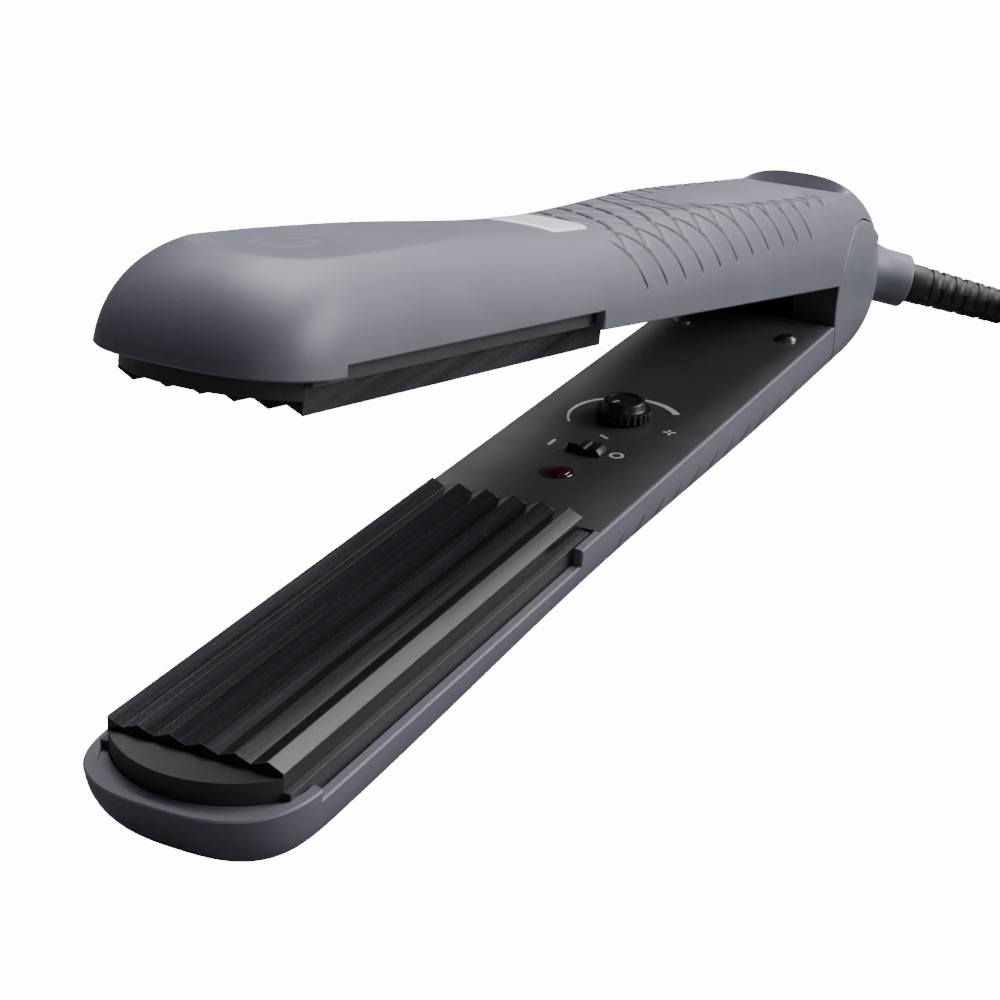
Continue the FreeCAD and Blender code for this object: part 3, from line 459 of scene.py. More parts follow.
def even_arc(half, height, start, count):
    """Points (across, h) evenly along a section from a start height up to the crown."""
    first = math.asin(min(start / height, 1.0) ** (SECTION_POWER / 2))
    angle = np.linspace(first, math.pi / 2, 400)
    across = half * np.clip(np.cos(angle), 0.0, 1.0) ** (2 / SECTION_POWER)
    rise = height * np.sin(angle) ** (2 / SECTION_POWER)
    across[-1] = 0.0
    run = np.concatenate([[0.0], np.cumsum(np.hypot(np.diff(across), np.diff(rise)))])
    wanted = np.linspace(0.0, run[-1], count)
    return np.interp(wanted, run, across), np.interp(wanted, run, rise)


def side_levels(arm, x, count):
    """Heights h of the side rows: handle rim, front rim, plate rim, then evenly to the disc's top."""
    top = arm["hinge"][1] - DISC_REACH
    levels = [rim_level(arm, x) - CHAMFER, FRONT_RIM - CHAMFER, PLATE_RIM - CHAMFER]
    levels += list(np.linspace(PLATE_RIM - CHAMFER, top, count - 2)[1:])
    return -BASE - np.array(levels)


SIDE_ROWS = 24
CROWN_ROWS = 46
TAIL_COLUMNS = 18
STEP_COLUMNS = 15


def section_rows(arm, x):
    """All row points (y, z) of the outer section at x, from the handle's rim to the crown."""
    levels = side_levels(arm, x, SIDE_ROWS)
    half = float(half_width(x))
    height = float(arm_height(arm, x))
    side_y = half * superellipse(levels / height)
    crown_y, crown_h = even_arc(half, height, levels[-1], CROWN_ROWS)
    y = np.concatenate([side_y, crown_y[1:]])
    h = np.concatenate([levels, crown_h[1:]])
    return y, h


def nose_reach(arm, angle, h, inset=0.0):
    """Distance from the nose centre to the surface, at a plan angle from the side, at a level h."""
    low = np.zeros(np.broadcast(angle, h).shape)
    high = np.full(low.shape, 40.0)
    for _ in range(48):
        middle = (low + high) / 2
        x = NOSE_CENTRE - middle * np.sin(angle)
        y = middle * np.cos(angle)
        half = np.maximum(half_width(x, inset), 1e-6)
        height = np.maximum(arm_height(arm, x, inset), 1e-6)
        outside = (y / half) ** SECTION_POWER + (h / height) ** SECTION_POWER > 1
        high = np.where(outside, middle, high)
        low = np.where(outside, low, middle)
    return (low + high) / 2


def rear_radius(angle, bottom=REAR_BOTTOM):
    height = REAR_TOP if angle >= 0 else bottom
    return 1 / math.hypot(math.cos(angle) / REAR_REACH, math.sin(abs(angle)) / height)


# Grip lines: pitch along the arm, knees at an arc length from the crown, strokes down the sides.
PITCH = 9.7
FIRST_KNEE = 116.5
LAST_KNEE = 213.5
KNEE_ARC = 16.5
CROWN_SLOPE = 2.5 * PITCH / (2 * KNEE_ARC)
STROKE_SLOPE = 0.4
STROKE_RUN = 7.5
LINE_HALF = 1.0
STROKE_HALF = 1.25
GROOVE_DEPTH = 0.55
PATTERN_START = 113.5
PATTERN_END = 239.0


def near_line(offset, half):
    """1 on a line of the family, falling smoothly to 0 at its half width."""
    distance = np.abs(offset - PITCH * np.round(offset / PITCH))
    return 1 - smooth_step(distance / half)


def engraving(x, s):
    """Depth share of the grip lines at x and arc length s from the crown, positive to the right."""
    tilt = math.hypot(1.0, CROWN_SLOPE)
    forward = near_line(x - FIRST_KNEE - CROWN_SLOPE * (s - KNEE_ARC), LINE_HALF * tilt)
    backward = near_line(x - FIRST_KNEE + CROWN_SLOPE * (s - KNEE_ARC), LINE_HALF * tilt)
    beyond = np.abs(s) - KNEE_ARC
    on_crown = 1 - smooth_step(beyond / 0.5)
    crown = 0.9 * np.maximum(forward, backward) * on_crown
    knee = np.where(s > 0, FIRST_KNEE, FIRST_KNEE + PITCH / 2)
    width = STROKE_HALF * (1 - 0.75 * np.clip(beyond / STROKE_RUN, 0.0, 1.0) ** 2)
    stroke = near_line(x - knee - STROKE_SLOPE * beyond, np.maximum(width, 0.1) * 1.08)
    stroke = stroke * smooth_step((beyond + 0.4) / 0.4) * (1 - smooth_step((beyond - STROKE_RUN) / 0.5))
    stroke = stroke * (x - STROKE_SLOPE * beyond < LAST_KNEE + PITCH * 0.6)
    ends = smooth_step((x - PATTERN_START) / 1.2) * (1 - smooth_step((x - PATTERN_END + 1.5) / 1.5))
    return np.maximum(crown, stroke) * ends


def outer_half(arm):
    """Grid points [row][column] of the outside on +y, rear to front, and where its rim steps down and up."""
    rear_shares = np.linspace(1.0, 0.0, 17)[:-1]
    grip = np.linspace(GRIP_END, GRIP_START, 355)
    waist = np.linspace(GRIP_START, HANDLE_START, 10)[1:]
    plain = np.linspace(HANDLE_START, NOSE_CENTRE, 56)[1:]
    stations = np.concatenate([grip, waist, plain])
    rows = SIDE_ROWS + CROWN_ROWS - 1
    hinge_x, hinge_z = arm["hinge"]
    grid = np.zeros((rows, len(rear_shares) + len(stations), 3))
    for column, x in enumerate(stations):
        y, h = section_rows(arm, x)
        grid[:, len(rear_shares) + column] = np.stack([np.full(rows, x), y, -BASE - h], axis=1)
    levels = -BASE - side_levels(arm, hinge_x - DISC_REACH, SIDE_ROWS)
    for row in range(rows):
        drop = hinge_z - levels[min(row, SIDE_ROWS - 1)]
        end = hinge_x - math.sqrt(max(DISC_REACH**2 - drop**2, 0.0))
        for column, share in enumerate(rear_shares):
            x = GRIP_END + share * (end - GRIP_END)
            y, h = section_rows(arm, x)
            grid[row, column] = (x, y[row], -BASE - h[row])
    step_angle = math.atan2(NOSE_CENTRE - RECESS_START, float(half_width(RECESS_START)) - 0.2)
    beside_plate = np.linspace(0, step_angle, STEP_COLUMNS + 1)[1:]
    sides = np.concatenate([beside_plate, np.linspace(step_angle, math.pi / 2, 42)[1:]])
    nose_h = section_rows(arm, NOSE_CENTRE)[1]
    reach = nose_reach(arm, sides[None, :], nose_h[:, None])
    reach[-1, :] = 0.0
    nose = np.stack(
        [
            NOSE_CENTRE - reach * np.sin(sides)[None, :],
            reach * np.cos(sides)[None, :],
            np.broadcast_to((-BASE - nose_h)[:, None], reach.shape),
        ],
        axis=2,
    )
    nose[:, -1, 1] = 0.0
    grid = np.concatenate([grid, nose], axis=1)
    step_column = len(rear_shares) + len(stations) - 1 + STEP_COLUMNS
    handle_column = len(rear_shares) + len(grip) + len(waist) - 1
    return grid, handle_column, step_column


def tail_half(arm):
    """Grid points of the tail round the hinge on +y, from above the hinge to the shoulder."""
    if not arm["tail"]:
        return None
    top = arm["depths"][2] + arm["hinge"][1]
    last = SHOULDER + OPEN_ANGLE
    arm_base = arm["hinge"][1] + BASE
    columns = []
    for step in range(1, TAIL_COLUMNS + 1):
        share = step / TAIL_COLUMNS
        angle = math.pi / 2 + (last - math.pi / 2) * share
        reach = top + (rear_radius(angle - OPEN_ANGLE) - top) * share
        base = arm_base + (RING_BASE - arm_base) * float(smooth_step(share))
        across, rise = even_arc(HALF_WIDTH, reach - base, DISC_REACH - base, CROWN_ROWS)
        radius = base + rise
        x = arm["hinge"][0] + radius * math.cos(angle)
        z = arm["hinge"][1] - radius * math.sin(angle)
        columns.append(np.stack([x, across, z], axis=1))
    return np.stack(columns, axis=1)


def engrave(arm, grid):
    """Press the grip lines into the grid and return their depth share at each point."""
    chords = np.linalg.norm(np.diff(grid[:, :, 1:], axis=0), axis=2)
    from_crown = np.concatenate([np.cumsum(chords[::-1], axis=0)[::-1], np.zeros((1, grid.shape[1]))])
    along = np.gradient(grid, axis=1)
    up = np.gradient(grid, axis=0)
    normal = np.cross(along, up)
    length = np.linalg.norm(normal, axis=2, keepdims=True)
    normal = normal / np.maximum(length, 1e-9)
    centre = np.array([0.0, 0.0, -5.0])
    outward = np.sign(np.sum(normal * (grid - centre) * np.array([0, 1, 1]), axis=2, keepdims=True))
    normal = normal * outward
    in_grip = (grid[:, :, 0] > GRIP_START) & (grid[:, :, 0] < PATTERN_END + 2)
    results = []
    for side in (1, -1):
        s = from_crown * (1 if side == arm["right"] else -1)
        share = np.where(in_grip, engraving(grid[:, :, 0], s), 0.0)
        results.append((grid - normal * (GROOVE_DEPTH * share)[:, :, None], share))
    return results


def inner_section(arm, x, level, flat):
    """Inner profile (y, z) from below the rim to the middle: the wall's inside, or a flat floor."""
    count = 12
    if flat:
        y = np.linspace(REBATE_Y - 1.0, 0.0, count)
        return y, np.full(count, level)
    half = float(half_width(x, WALL))
    height = float(arm_height(arm, x, WALL))
    y, h = even_arc(half, height, -BASE - level, count)
    return y, -BASE - h


def cell(lattice, row, column):
    """The four vertices of one cell, in order round it."""
    near, far = lattice[row], lattice[row + 1]
    return near[column], near[column + 1], far[column + 1], far[column]


def build_shell(name, arm_name, place, body, node):
    """One arm's shell: its engraved outside, its stepped rim, the wall's inside and the rear."""
    arm = ARMS[arm_name]
    grid, handle_column, step_column = outer_half(arm)
    halves = engrave(arm, grid)
    tail = tail_half(arm)
    editor = bmesh.new()
    # The depth share goes on the vertices, and the shell material paints shade into the grooves by it.
    engraved = editor.verts.layers.float.new("engraved")
    rows, columns = grid.shape[:2]
    for (points, share), side in zip(halves, (1, -1)):
        points = points.copy()
        points[:, :, 2] = np.maximum(points[:, :, 2], TABLE)
        flip = np.array([1, side, 1])
        vertices = [[editor.verts.new(point * flip) for point in row] for row in points]
        for row in range(rows):
            for column in range(columns):
                vertices[row][column][engraved] = share[row, column]
        for row in range(rows - 1):
            for column in range(columns - 1):
                over_plate = handle_column <= column < step_column
                above_rim = (row == 0 and column >= handle_column) or (row == 1 and over_plate)
                if not above_rim:
                    editor.faces.new(cell(vertices, row, column))
        knee = SIDE_ROWS - 1
        rear_line = [vertices[row][0] for row in range(knee + 1)]
        if tail is not None:
            tail_points = tail * flip
            tail_vertices = [[editor.verts.new(point) for point in row] for row in tail_points]
            for row in range(CROWN_ROWS):
                tail_vertices[row].insert(0, vertices[knee + row][0])
            for row in range(CROWN_ROWS - 1):
                for column in range(TAIL_COLUMNS):
                    editor.faces.new(cell(tail_vertices, row, column))
            rear_line += tail_vertices[0][1:]
            end_line = [tail_vertices[row][-1] for row in range(CROWN_ROWS)]
        else:
            end_line = [vertices[row][0] for row in range(knee, rows)]

        # The rim: the chain of edge points, its chamfer, and the way in over the wall.
        chain = [(0, column) for column in range(handle_column + 1)]
        chain += [(1, handle_column)]
        chain += [(2, column) for column in range(handle_column, step_column + 1)]
        chain += [(1, column) for column in range(step_column, columns)]
        outer_chain = [vertices[row][column] for row, column in chain]
        rim_chain = []
        for row, column in chain:
            before = grid[row, max(column - 1, 0)]
            after = grid[row, min(column + 1, columns - 1)]
            run = after - before
            inward = np.array([run[1], -run[0], 0.0]) * -1
            if column == columns - 1:
                inward = np.array([1.0, 0.0, 0.0])
            inward = inward / max(np.linalg.norm(inward), 1e-9)
            if inward[1] > 0.01 and column < columns - 1:
                inward = -inward
            slide = np.zeros(3)
            if column == handle_column and row < 2:
                slide[0] = -CHAMFER
            if column == step_column and row == 1:
                slide[0] = CHAMFER
            lift = 0.0 if (column == handle_column and row == 1) else CHAMFER
            position = grid[row, column] + inward * CHAMFER + slide + np.array([0, 0, lift])
            if column == columns - 1:
                position[1] = 0.0
            rim_chain.append(editor.verts.new(position * flip))
        for index in range(len(chain) - 1):
            editor.faces.new(cell([outer_chain, rim_chain], 0, index))

        # Inner columns: (chain index, x or None, nose column or None, rim level, rebate, floor kind).
        stops = []
        index_of = {key: index for index, key in enumerate(chain)}
        xs = grid[0, :, 0]

        def nearest(x):
            return int(np.argmin(np.abs(xs[: handle_column + 1] - x)))

        def add_stop(chain_index, x, level, kind):
            stops.append((chain_index, x, None, level, False, kind))

        def add_rebated(x, kind):
            stops.append((nearest(x), x, None, rim_level(arm, x), True, kind))

        add_rebated(COVER_END, "lip")
        add_rebated(COVER_END, "flat")
        add_rebated(CAVITY_END, "flat")
        add_rebated(CAVITY_END, "wall")
        for x in np.linspace(CAVITY_END - 6, COVER_START + 6, 20):
            add_rebated(x, "wall")
        add_rebated(COVER_START, "wall")
        add_stop(nearest(COVER_START), COVER_START, rim_level(arm, COVER_START), "wall")
        add_stop(index_of[(0, handle_column)], HANDLE_START, rim_level(arm, HANDLE_START), "wall")
        add_stop(index_of[(2, handle_column)], HANDLE_START, PLATE_RIM, "wall")
        nose_start = step_column - STEP_COLUMNS
        for column in range(handle_column + 4, nose_start, 4):
            add_stop(index_of[(2, column)], float(grid[2, column, 0]), PLATE_RIM, "wall")
        for column in range(nose_start, step_column + 1, 5):
            stops.append((index_of[(2, column)], None, column, PLATE_RIM, False, "nose"))
        for column in [*range(step_column, columns - 1, 4), columns - 1]:
            stops.append((index_of[(1, column)], None, column, FRONT_RIM, False, "nose"))

        inner_z = inner_section(arm, NOSE_CENTRE, PLATE_RIM - REBATE_DEPTH, False)[1]
        inner_columns = []
        for _, x, column, level, rebate, kind in stops:
            floor = level - REBATE_DEPTH
            if kind == "nose":
                base_x, base_y = grid[1, column, 0], grid[1, column, 1]
                angle = math.atan2(NOSE_CENTRE - base_x, base_y) if column < columns - 1 else math.pi / 2
                levels = -BASE - np.array([level, floor, floor, *inner_z[1:]])
                reach = nose_reach(arm, angle, levels, WALL)
                reach[-1] = 0.0
                side_y = reach * math.cos(angle) if column < columns - 1 else np.zeros(len(reach))
                profile = np.stack([NOSE_CENTRE - reach * math.sin(angle), side_y, -BASE - levels], axis=1)
            else:
                wall_y = float(half_width(x, WALL) * superellipse((-BASE - level) / arm_height(arm, x, WALL)))
                edge_y = REBATE_Y if rebate else wall_y
                if kind == "lip":
                    y = np.linspace(edge_y, 0.0, 12)
                    profile_y = np.concatenate([[edge_y, edge_y], y])
                    profile_z = np.full(14, level)
                else:
                    y, z = inner_section(arm, x, floor, kind == "flat")
                    profile_y = np.concatenate([[edge_y, edge_y if rebate else y[0]], y])
                    profile_z = np.concatenate([[level, floor], z])
                profile = np.stack([np.full(len(profile_y), x), profile_y, profile_z], axis=1)
            inner_columns.append([editor.verts.new(point * flip) for point in profile])
        for first, second in zip(inner_columns, inner_columns[1:]):
            for row in range(len(first) - 1):
                editor.faces.new(cell([first, second], 0, row))
        for (start, *_), (end, *_), first, second in zip(stops, stops[1:], inner_columns, inner_columns[1:]):
            loop = rim_chain[start : end + 1] + [second[0], first[0]]
            if end > start:
                editor.faces.new(loop)

        # The rear: across the arc round the hinge, the lip's top and the end face.
        middle = [editor.verts.new((vertex.co.x, 0, vertex.co.z)) for vertex in rear_line]
        middle[0].co.z += CHAMFER
        for row in range(len(rear_line) - 1):
            editor.faces.new(cell([rear_line, middle], 0, row))
        editor.faces.new((rear_line[0], middle[0], rim_chain[0]))
        first_stop = stops[0][0]
        lip = rim_chain[: first_stop + 1] + inner_columns[0][1:] + [middle[0]]
        editor.faces.new(lip)
        editor.faces.new([*end_line, middle[-1]] if end_line[0] is rear_line[-1] else end_line)
    clean(editor)
    return finish_piece(editor, name, place, SHELL, body, [node], 40.0)


build_shell("lower_arm_shell", "lower", LOWER, "lower_arm", "lower_shell")
build_shell("upper_arm_shell", "upper", UPPER, "upper_arm", "upper_shell")

HOLDER_NOSE_RADIUS = 20.82
HOLDER_NOSE_TIP = -7.5
HOLDER_HALF = 17.35
SEAT_GAP = 0.12
SEAT_DROP = 0.35
SEAT_THICK = 1.6


def build_nose_seat(arm_name, place, body):
    """Ledge of the shell round the holder's nose, a little below the rim."""
    arm = ARMS[arm_name]
    editor = bmesh.new()
    top = FRONT_RIM - SEAT_DROP
    bottom = top - SEAT_THICK
    offset = NOSE_CENTRE - HOLDER_NOSE_RADIUS - HOLDER_NOSE_TIP
    first = math.atan2(NOSE_CENTRE - RECESS_START, HALF_WIDTH)
    rows = []
    for angle in np.linspace(first, math.pi - first, 121):
        sine = math.sin(angle)
        cosine = math.cos(angle)
        plan = angle if angle <= math.pi / 2 else math.pi - angle
        near = offset * sine + math.sqrt(HOLDER_NOSE_RADIUS**2 - (offset * cosine) ** 2)
        near = min(near, HOLDER_HALF / max(abs(cosine), 1e-6)) + SEAT_GAP
        row = []
        for z in (top, bottom):
            far = float(nose_reach(arm, plan, -BASE - z, WALL)) + 0.4
            ends = [(far, z), (near, z)] if z == top else [(near, z), (far, z)]
            row += [Vector((NOSE_CENTRE - reach * sine, reach * cosine, height)) for reach, height in ends]
        rows.append(row)
    grid = fill_grid(editor, rows, close_u=True)
    editor.faces.new(grid[0])
    editor.faces.new(grid[-1])
    clean(editor)
    name = arm_name + "_nose_seat"
    return finish_piece(editor, name, place, SHELL, body, sharp=40.0)


build_nose_seat("lower", LOWER, "lower_arm")
build_nose_seat("upper", UPPER, "upper_arm")

# ------------------------------------------------------------------ Hinge covers

DISC_RADIUS = 17.7
EDGE_BREAK = 0.25
FORK_HALF = 9.2
FORK_DEPTH = 8.5
TO_UPPER = (SWING @ FLIP).inverted()


def rear_base(angle):
    """Radius that the rounded rear end's section rises from, at an angle about the hinge."""
    blend = float(smooth_step((angle + math.pi / 2) / math.radians(70)))
    return (HINGE.z + BASE) + (RING_BASE - HINGE.z - BASE) * blend


def block_width(angle, radius, rear):
    """Half width of the rear end at a polar place about the hinge, level with the arms round it."""
    x = HINGE.x + radius * math.cos(angle)
    z = HINGE.z + radius * math.sin(angle)
    if rear:
        base = rear_base(angle)
        share = (radius - base) / (rear_radius(angle) - base)
        return HALF_WIDTH * float(superellipse(share))
    raised = TO_UPPER @ Vector((x, 0, z))
    width = HALF_WIDTH
    for arm, point in (("lower", (x, z)), ("upper", (raised.x, raised.z))):
        h = -BASE - point[1]
        if h > 0:
            width = HALF_WIDTH * float(superellipse(h / float(arm_height(ARMS[arm], point[0]))))
    return width


def build_hinge_cover(side, sign):
    """Cheek of the hinge and half of the rounded rear end."""
    editor = bmesh.new()
    shared = np.linspace(0.6, DISC_RADIUS - EDGE_BREAK, 22)
    rear_angles = np.linspace(-math.pi / 2, SHOULDER, 90)
    front_angles = np.linspace(SHOULDER, 1.5 * math.pi, 120)
    hub = editor.verts.new((HINGE.x, sign * HALF_WIDTH, HINGE.z))
    dark_faces = []

    def spot(angle, radius, y):
        x = HINGE.x + radius * math.cos(angle)
        z = max(HINGE.z + radius * math.sin(angle), TABLE)
        return editor.verts.new((x, sign * y, z))

    def column(angle, rear):
        result = [hub]
        result += [spot(angle, radius, block_width(angle, radius, rear)) for radius in shared]
        if rear:
            reach = rear_radius(angle)
            base = rear_base(angle)
            across, rise = even_arc(HALF_WIDTH, reach - base, DISC_RADIUS - EDGE_BREAK - base, 44)
            for y, h in zip(across[1:-1], rise[1:-1]):
                result.append(spot(angle, base + h, max(y, 0.12)))
            result.append(spot(angle, reach - 0.12, 0.0))
        else:
            edge = block_width(angle, DISC_RADIUS, False) - EDGE_BREAK
            result.append(spot(angle, DISC_RADIUS, edge))
            result.append(spot(angle, DISC_RADIUS, FORK_HALF))
            result.append(spot(angle, FORK_DEPTH, FORK_HALF))
            result.append(spot(angle, FORK_DEPTH, 0.0))
        return result

    for angles, rear in ((rear_angles, True), (front_angles, False)):
        columns = [column(float(angle), rear) for angle in angles]
        for first, second in zip(columns, columns[1:]):
            for row in range(len(first) - 1):
                face = editor.faces.new(tuple(dict.fromkeys(cell([first, second], 0, row))))
                if not rear and row > len(shared):
                    dark_faces.append(face)
        if rear:
            rear_ends = (columns[0], columns[-1])
        else:
            front_ends = (columns[-1], columns[0])
    for rear_column, front_column in zip(rear_ends, front_ends):
        ring = rear_column[len(shared) :] + list(reversed(front_column[len(shared) + 1 :]))
        editor.faces.new(ring)
    for face in dark_faces:
        face.material_index = 1
    clean(editor)
    for face in editor.faces:
        if abs(face.normal.y) > 0.9 and face.calc_center_median().y * sign > HALF_WIDTH - 1.5:
            if face.normal.y * sign < 0:
                bmesh.ops.reverse_faces(editor, faces=editor.faces)
            break
    name = f"{side}_rear_cover"
    nodes = [f"{side}_hinge_cover"]
    plastics = [HINGE_PLASTIC, INNER]
    return finish_piece(editor, name, LOWER, plastics, "lower_arm", nodes, 40.0)


build_hinge_cover("left", 1)
build_hinge_cover("right", -1)

# ---------------------------------------------------- Cord way out: collar, relief

CORD_EXIT = Vector((286.9, -22.1, -6.0))
CORD_WAY = Vector((0.510, -0.819, -0.267)).normalized()
RELIEF_LENGTH = 30.0
RELIEF_ROOT = 4.9
RELIEF_TIP = 4.3
COLLAR_RADIUS = 6.7
COLLAR_INSIDE = 17.0
CORD_RADIUS = 3.15


def build_collar():
    """Nozzle that grows out of the rear cover with a soft flare, its mouth edge round."""
    editor = bmesh.new()
    profile = []
    for step in range(13):
        height = -COLLAR_INSIDE + (COLLAR_INSIDE - 3.0) * step / 12
        profile.append((COLLAR_RADIUS + 0.035 * max(-height - 5.0, 0.0) ** 2, height))
    bore = RELIEF_ROOT + 0.15
    mouth = [(COLLAR_RADIUS, -3.0), (COLLAR_RADIUS, 0.0), (bore, 0.0), (bore, -4.0)]
    profile += rounded_profile(mouth, 1.3, 6)[1:]
    turned_grid(editor, profile, 72, CORD_EXIT, CORD_WAY)
    clean(editor)
    name = "cord_nozzle"
    nodes = ["cord_collar"]
    return finish_piece(editor, name, LOWER, HINGE_PLASTIC, "lower_arm", nodes, 50.0)


def build_relief():
    """Tapered boot: a smooth root, then eight flexing ribs with gaps let into them in turns."""
    editor = bmesh.new()
    ribs = 8
    root_run = 5.0
    pitch = (RELIEF_LENGTH - root_run) / ribs
    profile = [(RELIEF_ROOT - 0.3, -8.0), (RELIEF_ROOT - 0.3, -0.2), (RELIEF_ROOT, 0.2)]
    profile.append((RELIEF_ROOT, root_run - 0.2))
    for rib in range(ribs):
        low = root_run + rib * pitch
        radius = RELIEF_ROOT + (RELIEF_TIP - RELIEF_ROOT) * (rib + 1) / ribs
        floor_radius = radius - 0.55
        turn = math.pi / 2 * (rib % 2)

        def groove(angle, radius=radius, floor_radius=floor_radius, turn=turn):
            bridge = smooth_step((abs(math.cos(angle + turn)) - 0.86) / 0.06)
            return floor_radius + (radius - floor_radius) * float(bridge)

        profile.append((groove, low + 0.15))
        profile.append((groove, low + pitch * 0.34))
        profile.append((radius - 0.12, low + pitch * 0.38))
        profile.append((radius, low + pitch * 0.46))
        profile.append((radius, low + pitch * 0.92))
        profile.append((radius - 0.12, low + pitch))
    profile.append((RELIEF_TIP - 0.5, RELIEF_LENGTH + 0.05))
    profile.append((CORD_RADIUS + 0.05, RELIEF_LENGTH - 0.3))
    profile.append((CORD_RADIUS + 0.05, RELIEF_LENGTH - 3.0))
    turned_grid(editor, profile, 72, CORD_EXIT, CORD_WAY)
    clean(editor)
    nodes = ["strain_relief"]
    return finish_piece(editor, "flex_relief", LOWER, RELIEF, "lower_arm", nodes, 40.0)


build_collar()
relief_piece = build_relief()

# ------------------------------------------------------------------- Crimp plates

PLATE_LENGTH = 107.0
PLATE_HALF = 16.0
PLATE_DEPTH = 4.4
TOOTH_DEPTH = 1.4
TOOTH_STEPS = 11
PLATE_BREAK = 0.13


def build_plate(arm_name, place, body):
    """Crimp plate with its row of teeth and the two ribs that the heater clip holds."""
    editor = bmesh.new()
    outline = []
    for step in range(TOOTH_STEPS + 1):
        level = 0.0 if step % 2 == 0 else -TOOTH_DEPTH
        outline.append((PLATE_HALF - step * 2 * PLATE_HALF / TOOTH_STEPS, level))
    under = -PLATE_DEPTH
    foot = under - 3.6
    outline += [(-PLATE_HALF, under), (-9.8, under), (-9.8, foot), (-8.2, foot), (-8.2, under)]
    outline += [(8.2, under), (8.2, foot), (9.8, foot), (9.8, under), (PLATE_HALF, under)]
    extruded(editor, outline, 0.0, PLATE_LENGTH, PLATE_BREAK, 3, "all")
    editor.transform(ALONG_X)
    clean(editor)
    name = arm_name + "_plate"
    return finish_piece(editor, name, place, PLATE, body, [arm_name + "_crimp_plate"], 8.0)


build_plate("lower", LOWER, "lower_arm")
build_plate("upper", UPPER, "upper_arm")

# ----------------------------------------------------------------------- Controls

PANEL = HANDLE_RIM
KNOB_X = 162.5
KNOB_RADIUS = 5.9
KNOB_CAP = 4.5
KNOB_SKIRT = 2.2
KNOB_HEIGHT = 4.2
KNOB_RIBS = 24
SWITCH_X = 142.5
SWITCH_SLOT = 9.3
SWITCH_TRAVEL = 3.0
SWITCH_PLAY = 0.2
LENS_X = 129.8
INK_PROUD = 0.025


def build_knob():
    """Dial: a knurled skirt, a domed cap with a finger groove and a white pointer."""
    editor = bmesh.new()

    def knurled(depth):
        def reach(angle):
            wave = 0.5 + 0.5 * math.cos(KNOB_RIBS * angle)
            return KNOB_RADIUS - depth * (1 - wave) ** 2

        return reach

    profile = [(0.01, 0.0), (KNOB_RADIUS - 0.5, 0.0), (knurled(0.42), 0.25)]
    profile += [(knurled(0.42), 1.0), (knurled(0.42), KNOB_SKIRT - 0.45), (knurled(0.25), KNOB_SKIRT - 0.15)]
    profile += [(KNOB_RADIUS - 0.55, KNOB_SKIRT), (KNOB_CAP + 0.25, KNOB_SKIRT), (KNOB_CAP, KNOB_SKIRT + 0.3)]
    profile += [(KNOB_CAP - 0.1, KNOB_HEIGHT - 0.5), (KNOB_CAP - 0.3, KNOB_HEIGHT - 0.15)]
    profile += [(KNOB_CAP - 0.7, KNOB_HEIGHT), (KNOB_CAP - 1.1, KNOB_HEIGHT)]
    profile += [(KNOB_CAP - 1.4, KNOB_HEIGHT - 0.3), (1.2, KNOB_HEIGHT - 0.3), (0.01, KNOB_HEIGHT - 0.28)]
    spot = Vector((KNOB_X, 0, PANEL + 0.3))
    turned_grid(editor, profile, KNOB_RIBS * 8, spot, Vector((0, 0, 1)), Vector((1, 0, 0)))
    clean(editor)
    nodes = ["temperature_knob"]
    return finish_piece(editor, "dial", LOWER, KNOB, "temperature_dial", nodes, 40.0)


def build_pointer():
    """White line on the dial's cap and skirt."""
    editor = bmesh.new()
    direction = Vector((-0.82, 0.57, 0)).normalized()
    side = Vector((0, 0, 1)).cross(direction)
    centre = Vector((KNOB_X, 0, PANEL + 0.3))
    runs = ((KNOB_CAP + 0.45, KNOB_RADIUS - 0.75, KNOB_SKIRT), (1.2, KNOB_CAP - 1.6, KNOB_HEIGHT - 0.3))
    for start, end, height in runs:
        corners = []
        for reach, half in ((start, -0.35), (end, -0.35), (end, 0.35), (start, 0.35)):
            corners.append(centre + direction * reach + side * half + Vector((0, 0, height + INK_PROUD)))
        editor.faces.new([editor.verts.new(corner) for corner in corners])
    return finish_piece(editor, "dial_pointer", LOWER, INK, "temperature_dial")


def add_ink_arc(editor, centre, radius, start, end, width_start, width_end, steps=48):
    """A printed arc, its width changing evenly along it; angles in degrees."""
    rows = [[], []]
    for step in range(steps + 1):
        share = step / steps
        angle = math.radians(start + (end - start) * share)
        half = (width_start + (width_end - width_start) * share) / 2
        for row, reach in zip(rows, (radius - half, radius + half)):
            row.append(Vector((centre[0] + reach * math.cos(angle), centre[1] + reach * math.sin(angle), 0)))
    height = Vector((0, 0, PANEL + INK_PROUD))
    fill_grid(editor, [[point + height for point in row] for row in rows])


def add_ink_bar(editor, centre, angle, length, width):
    """A printed stroke."""
    along = Vector((math.cos(math.radians(angle)), math.sin(math.radians(angle)), 0))
    across = Vector((-along.y, along.x, 0))
    middle = Vector((centre[0], centre[1], PANEL + INK_PROUD))
    corners = []
    for a, b in ((-1, -1), (1, -1), (1, 1), (-1, 1)):
        corners.append(middle + along * (a * length / 2) + across * (b * width / 2))
    editor.faces.new([editor.verts.new(corner) for corner in corners])


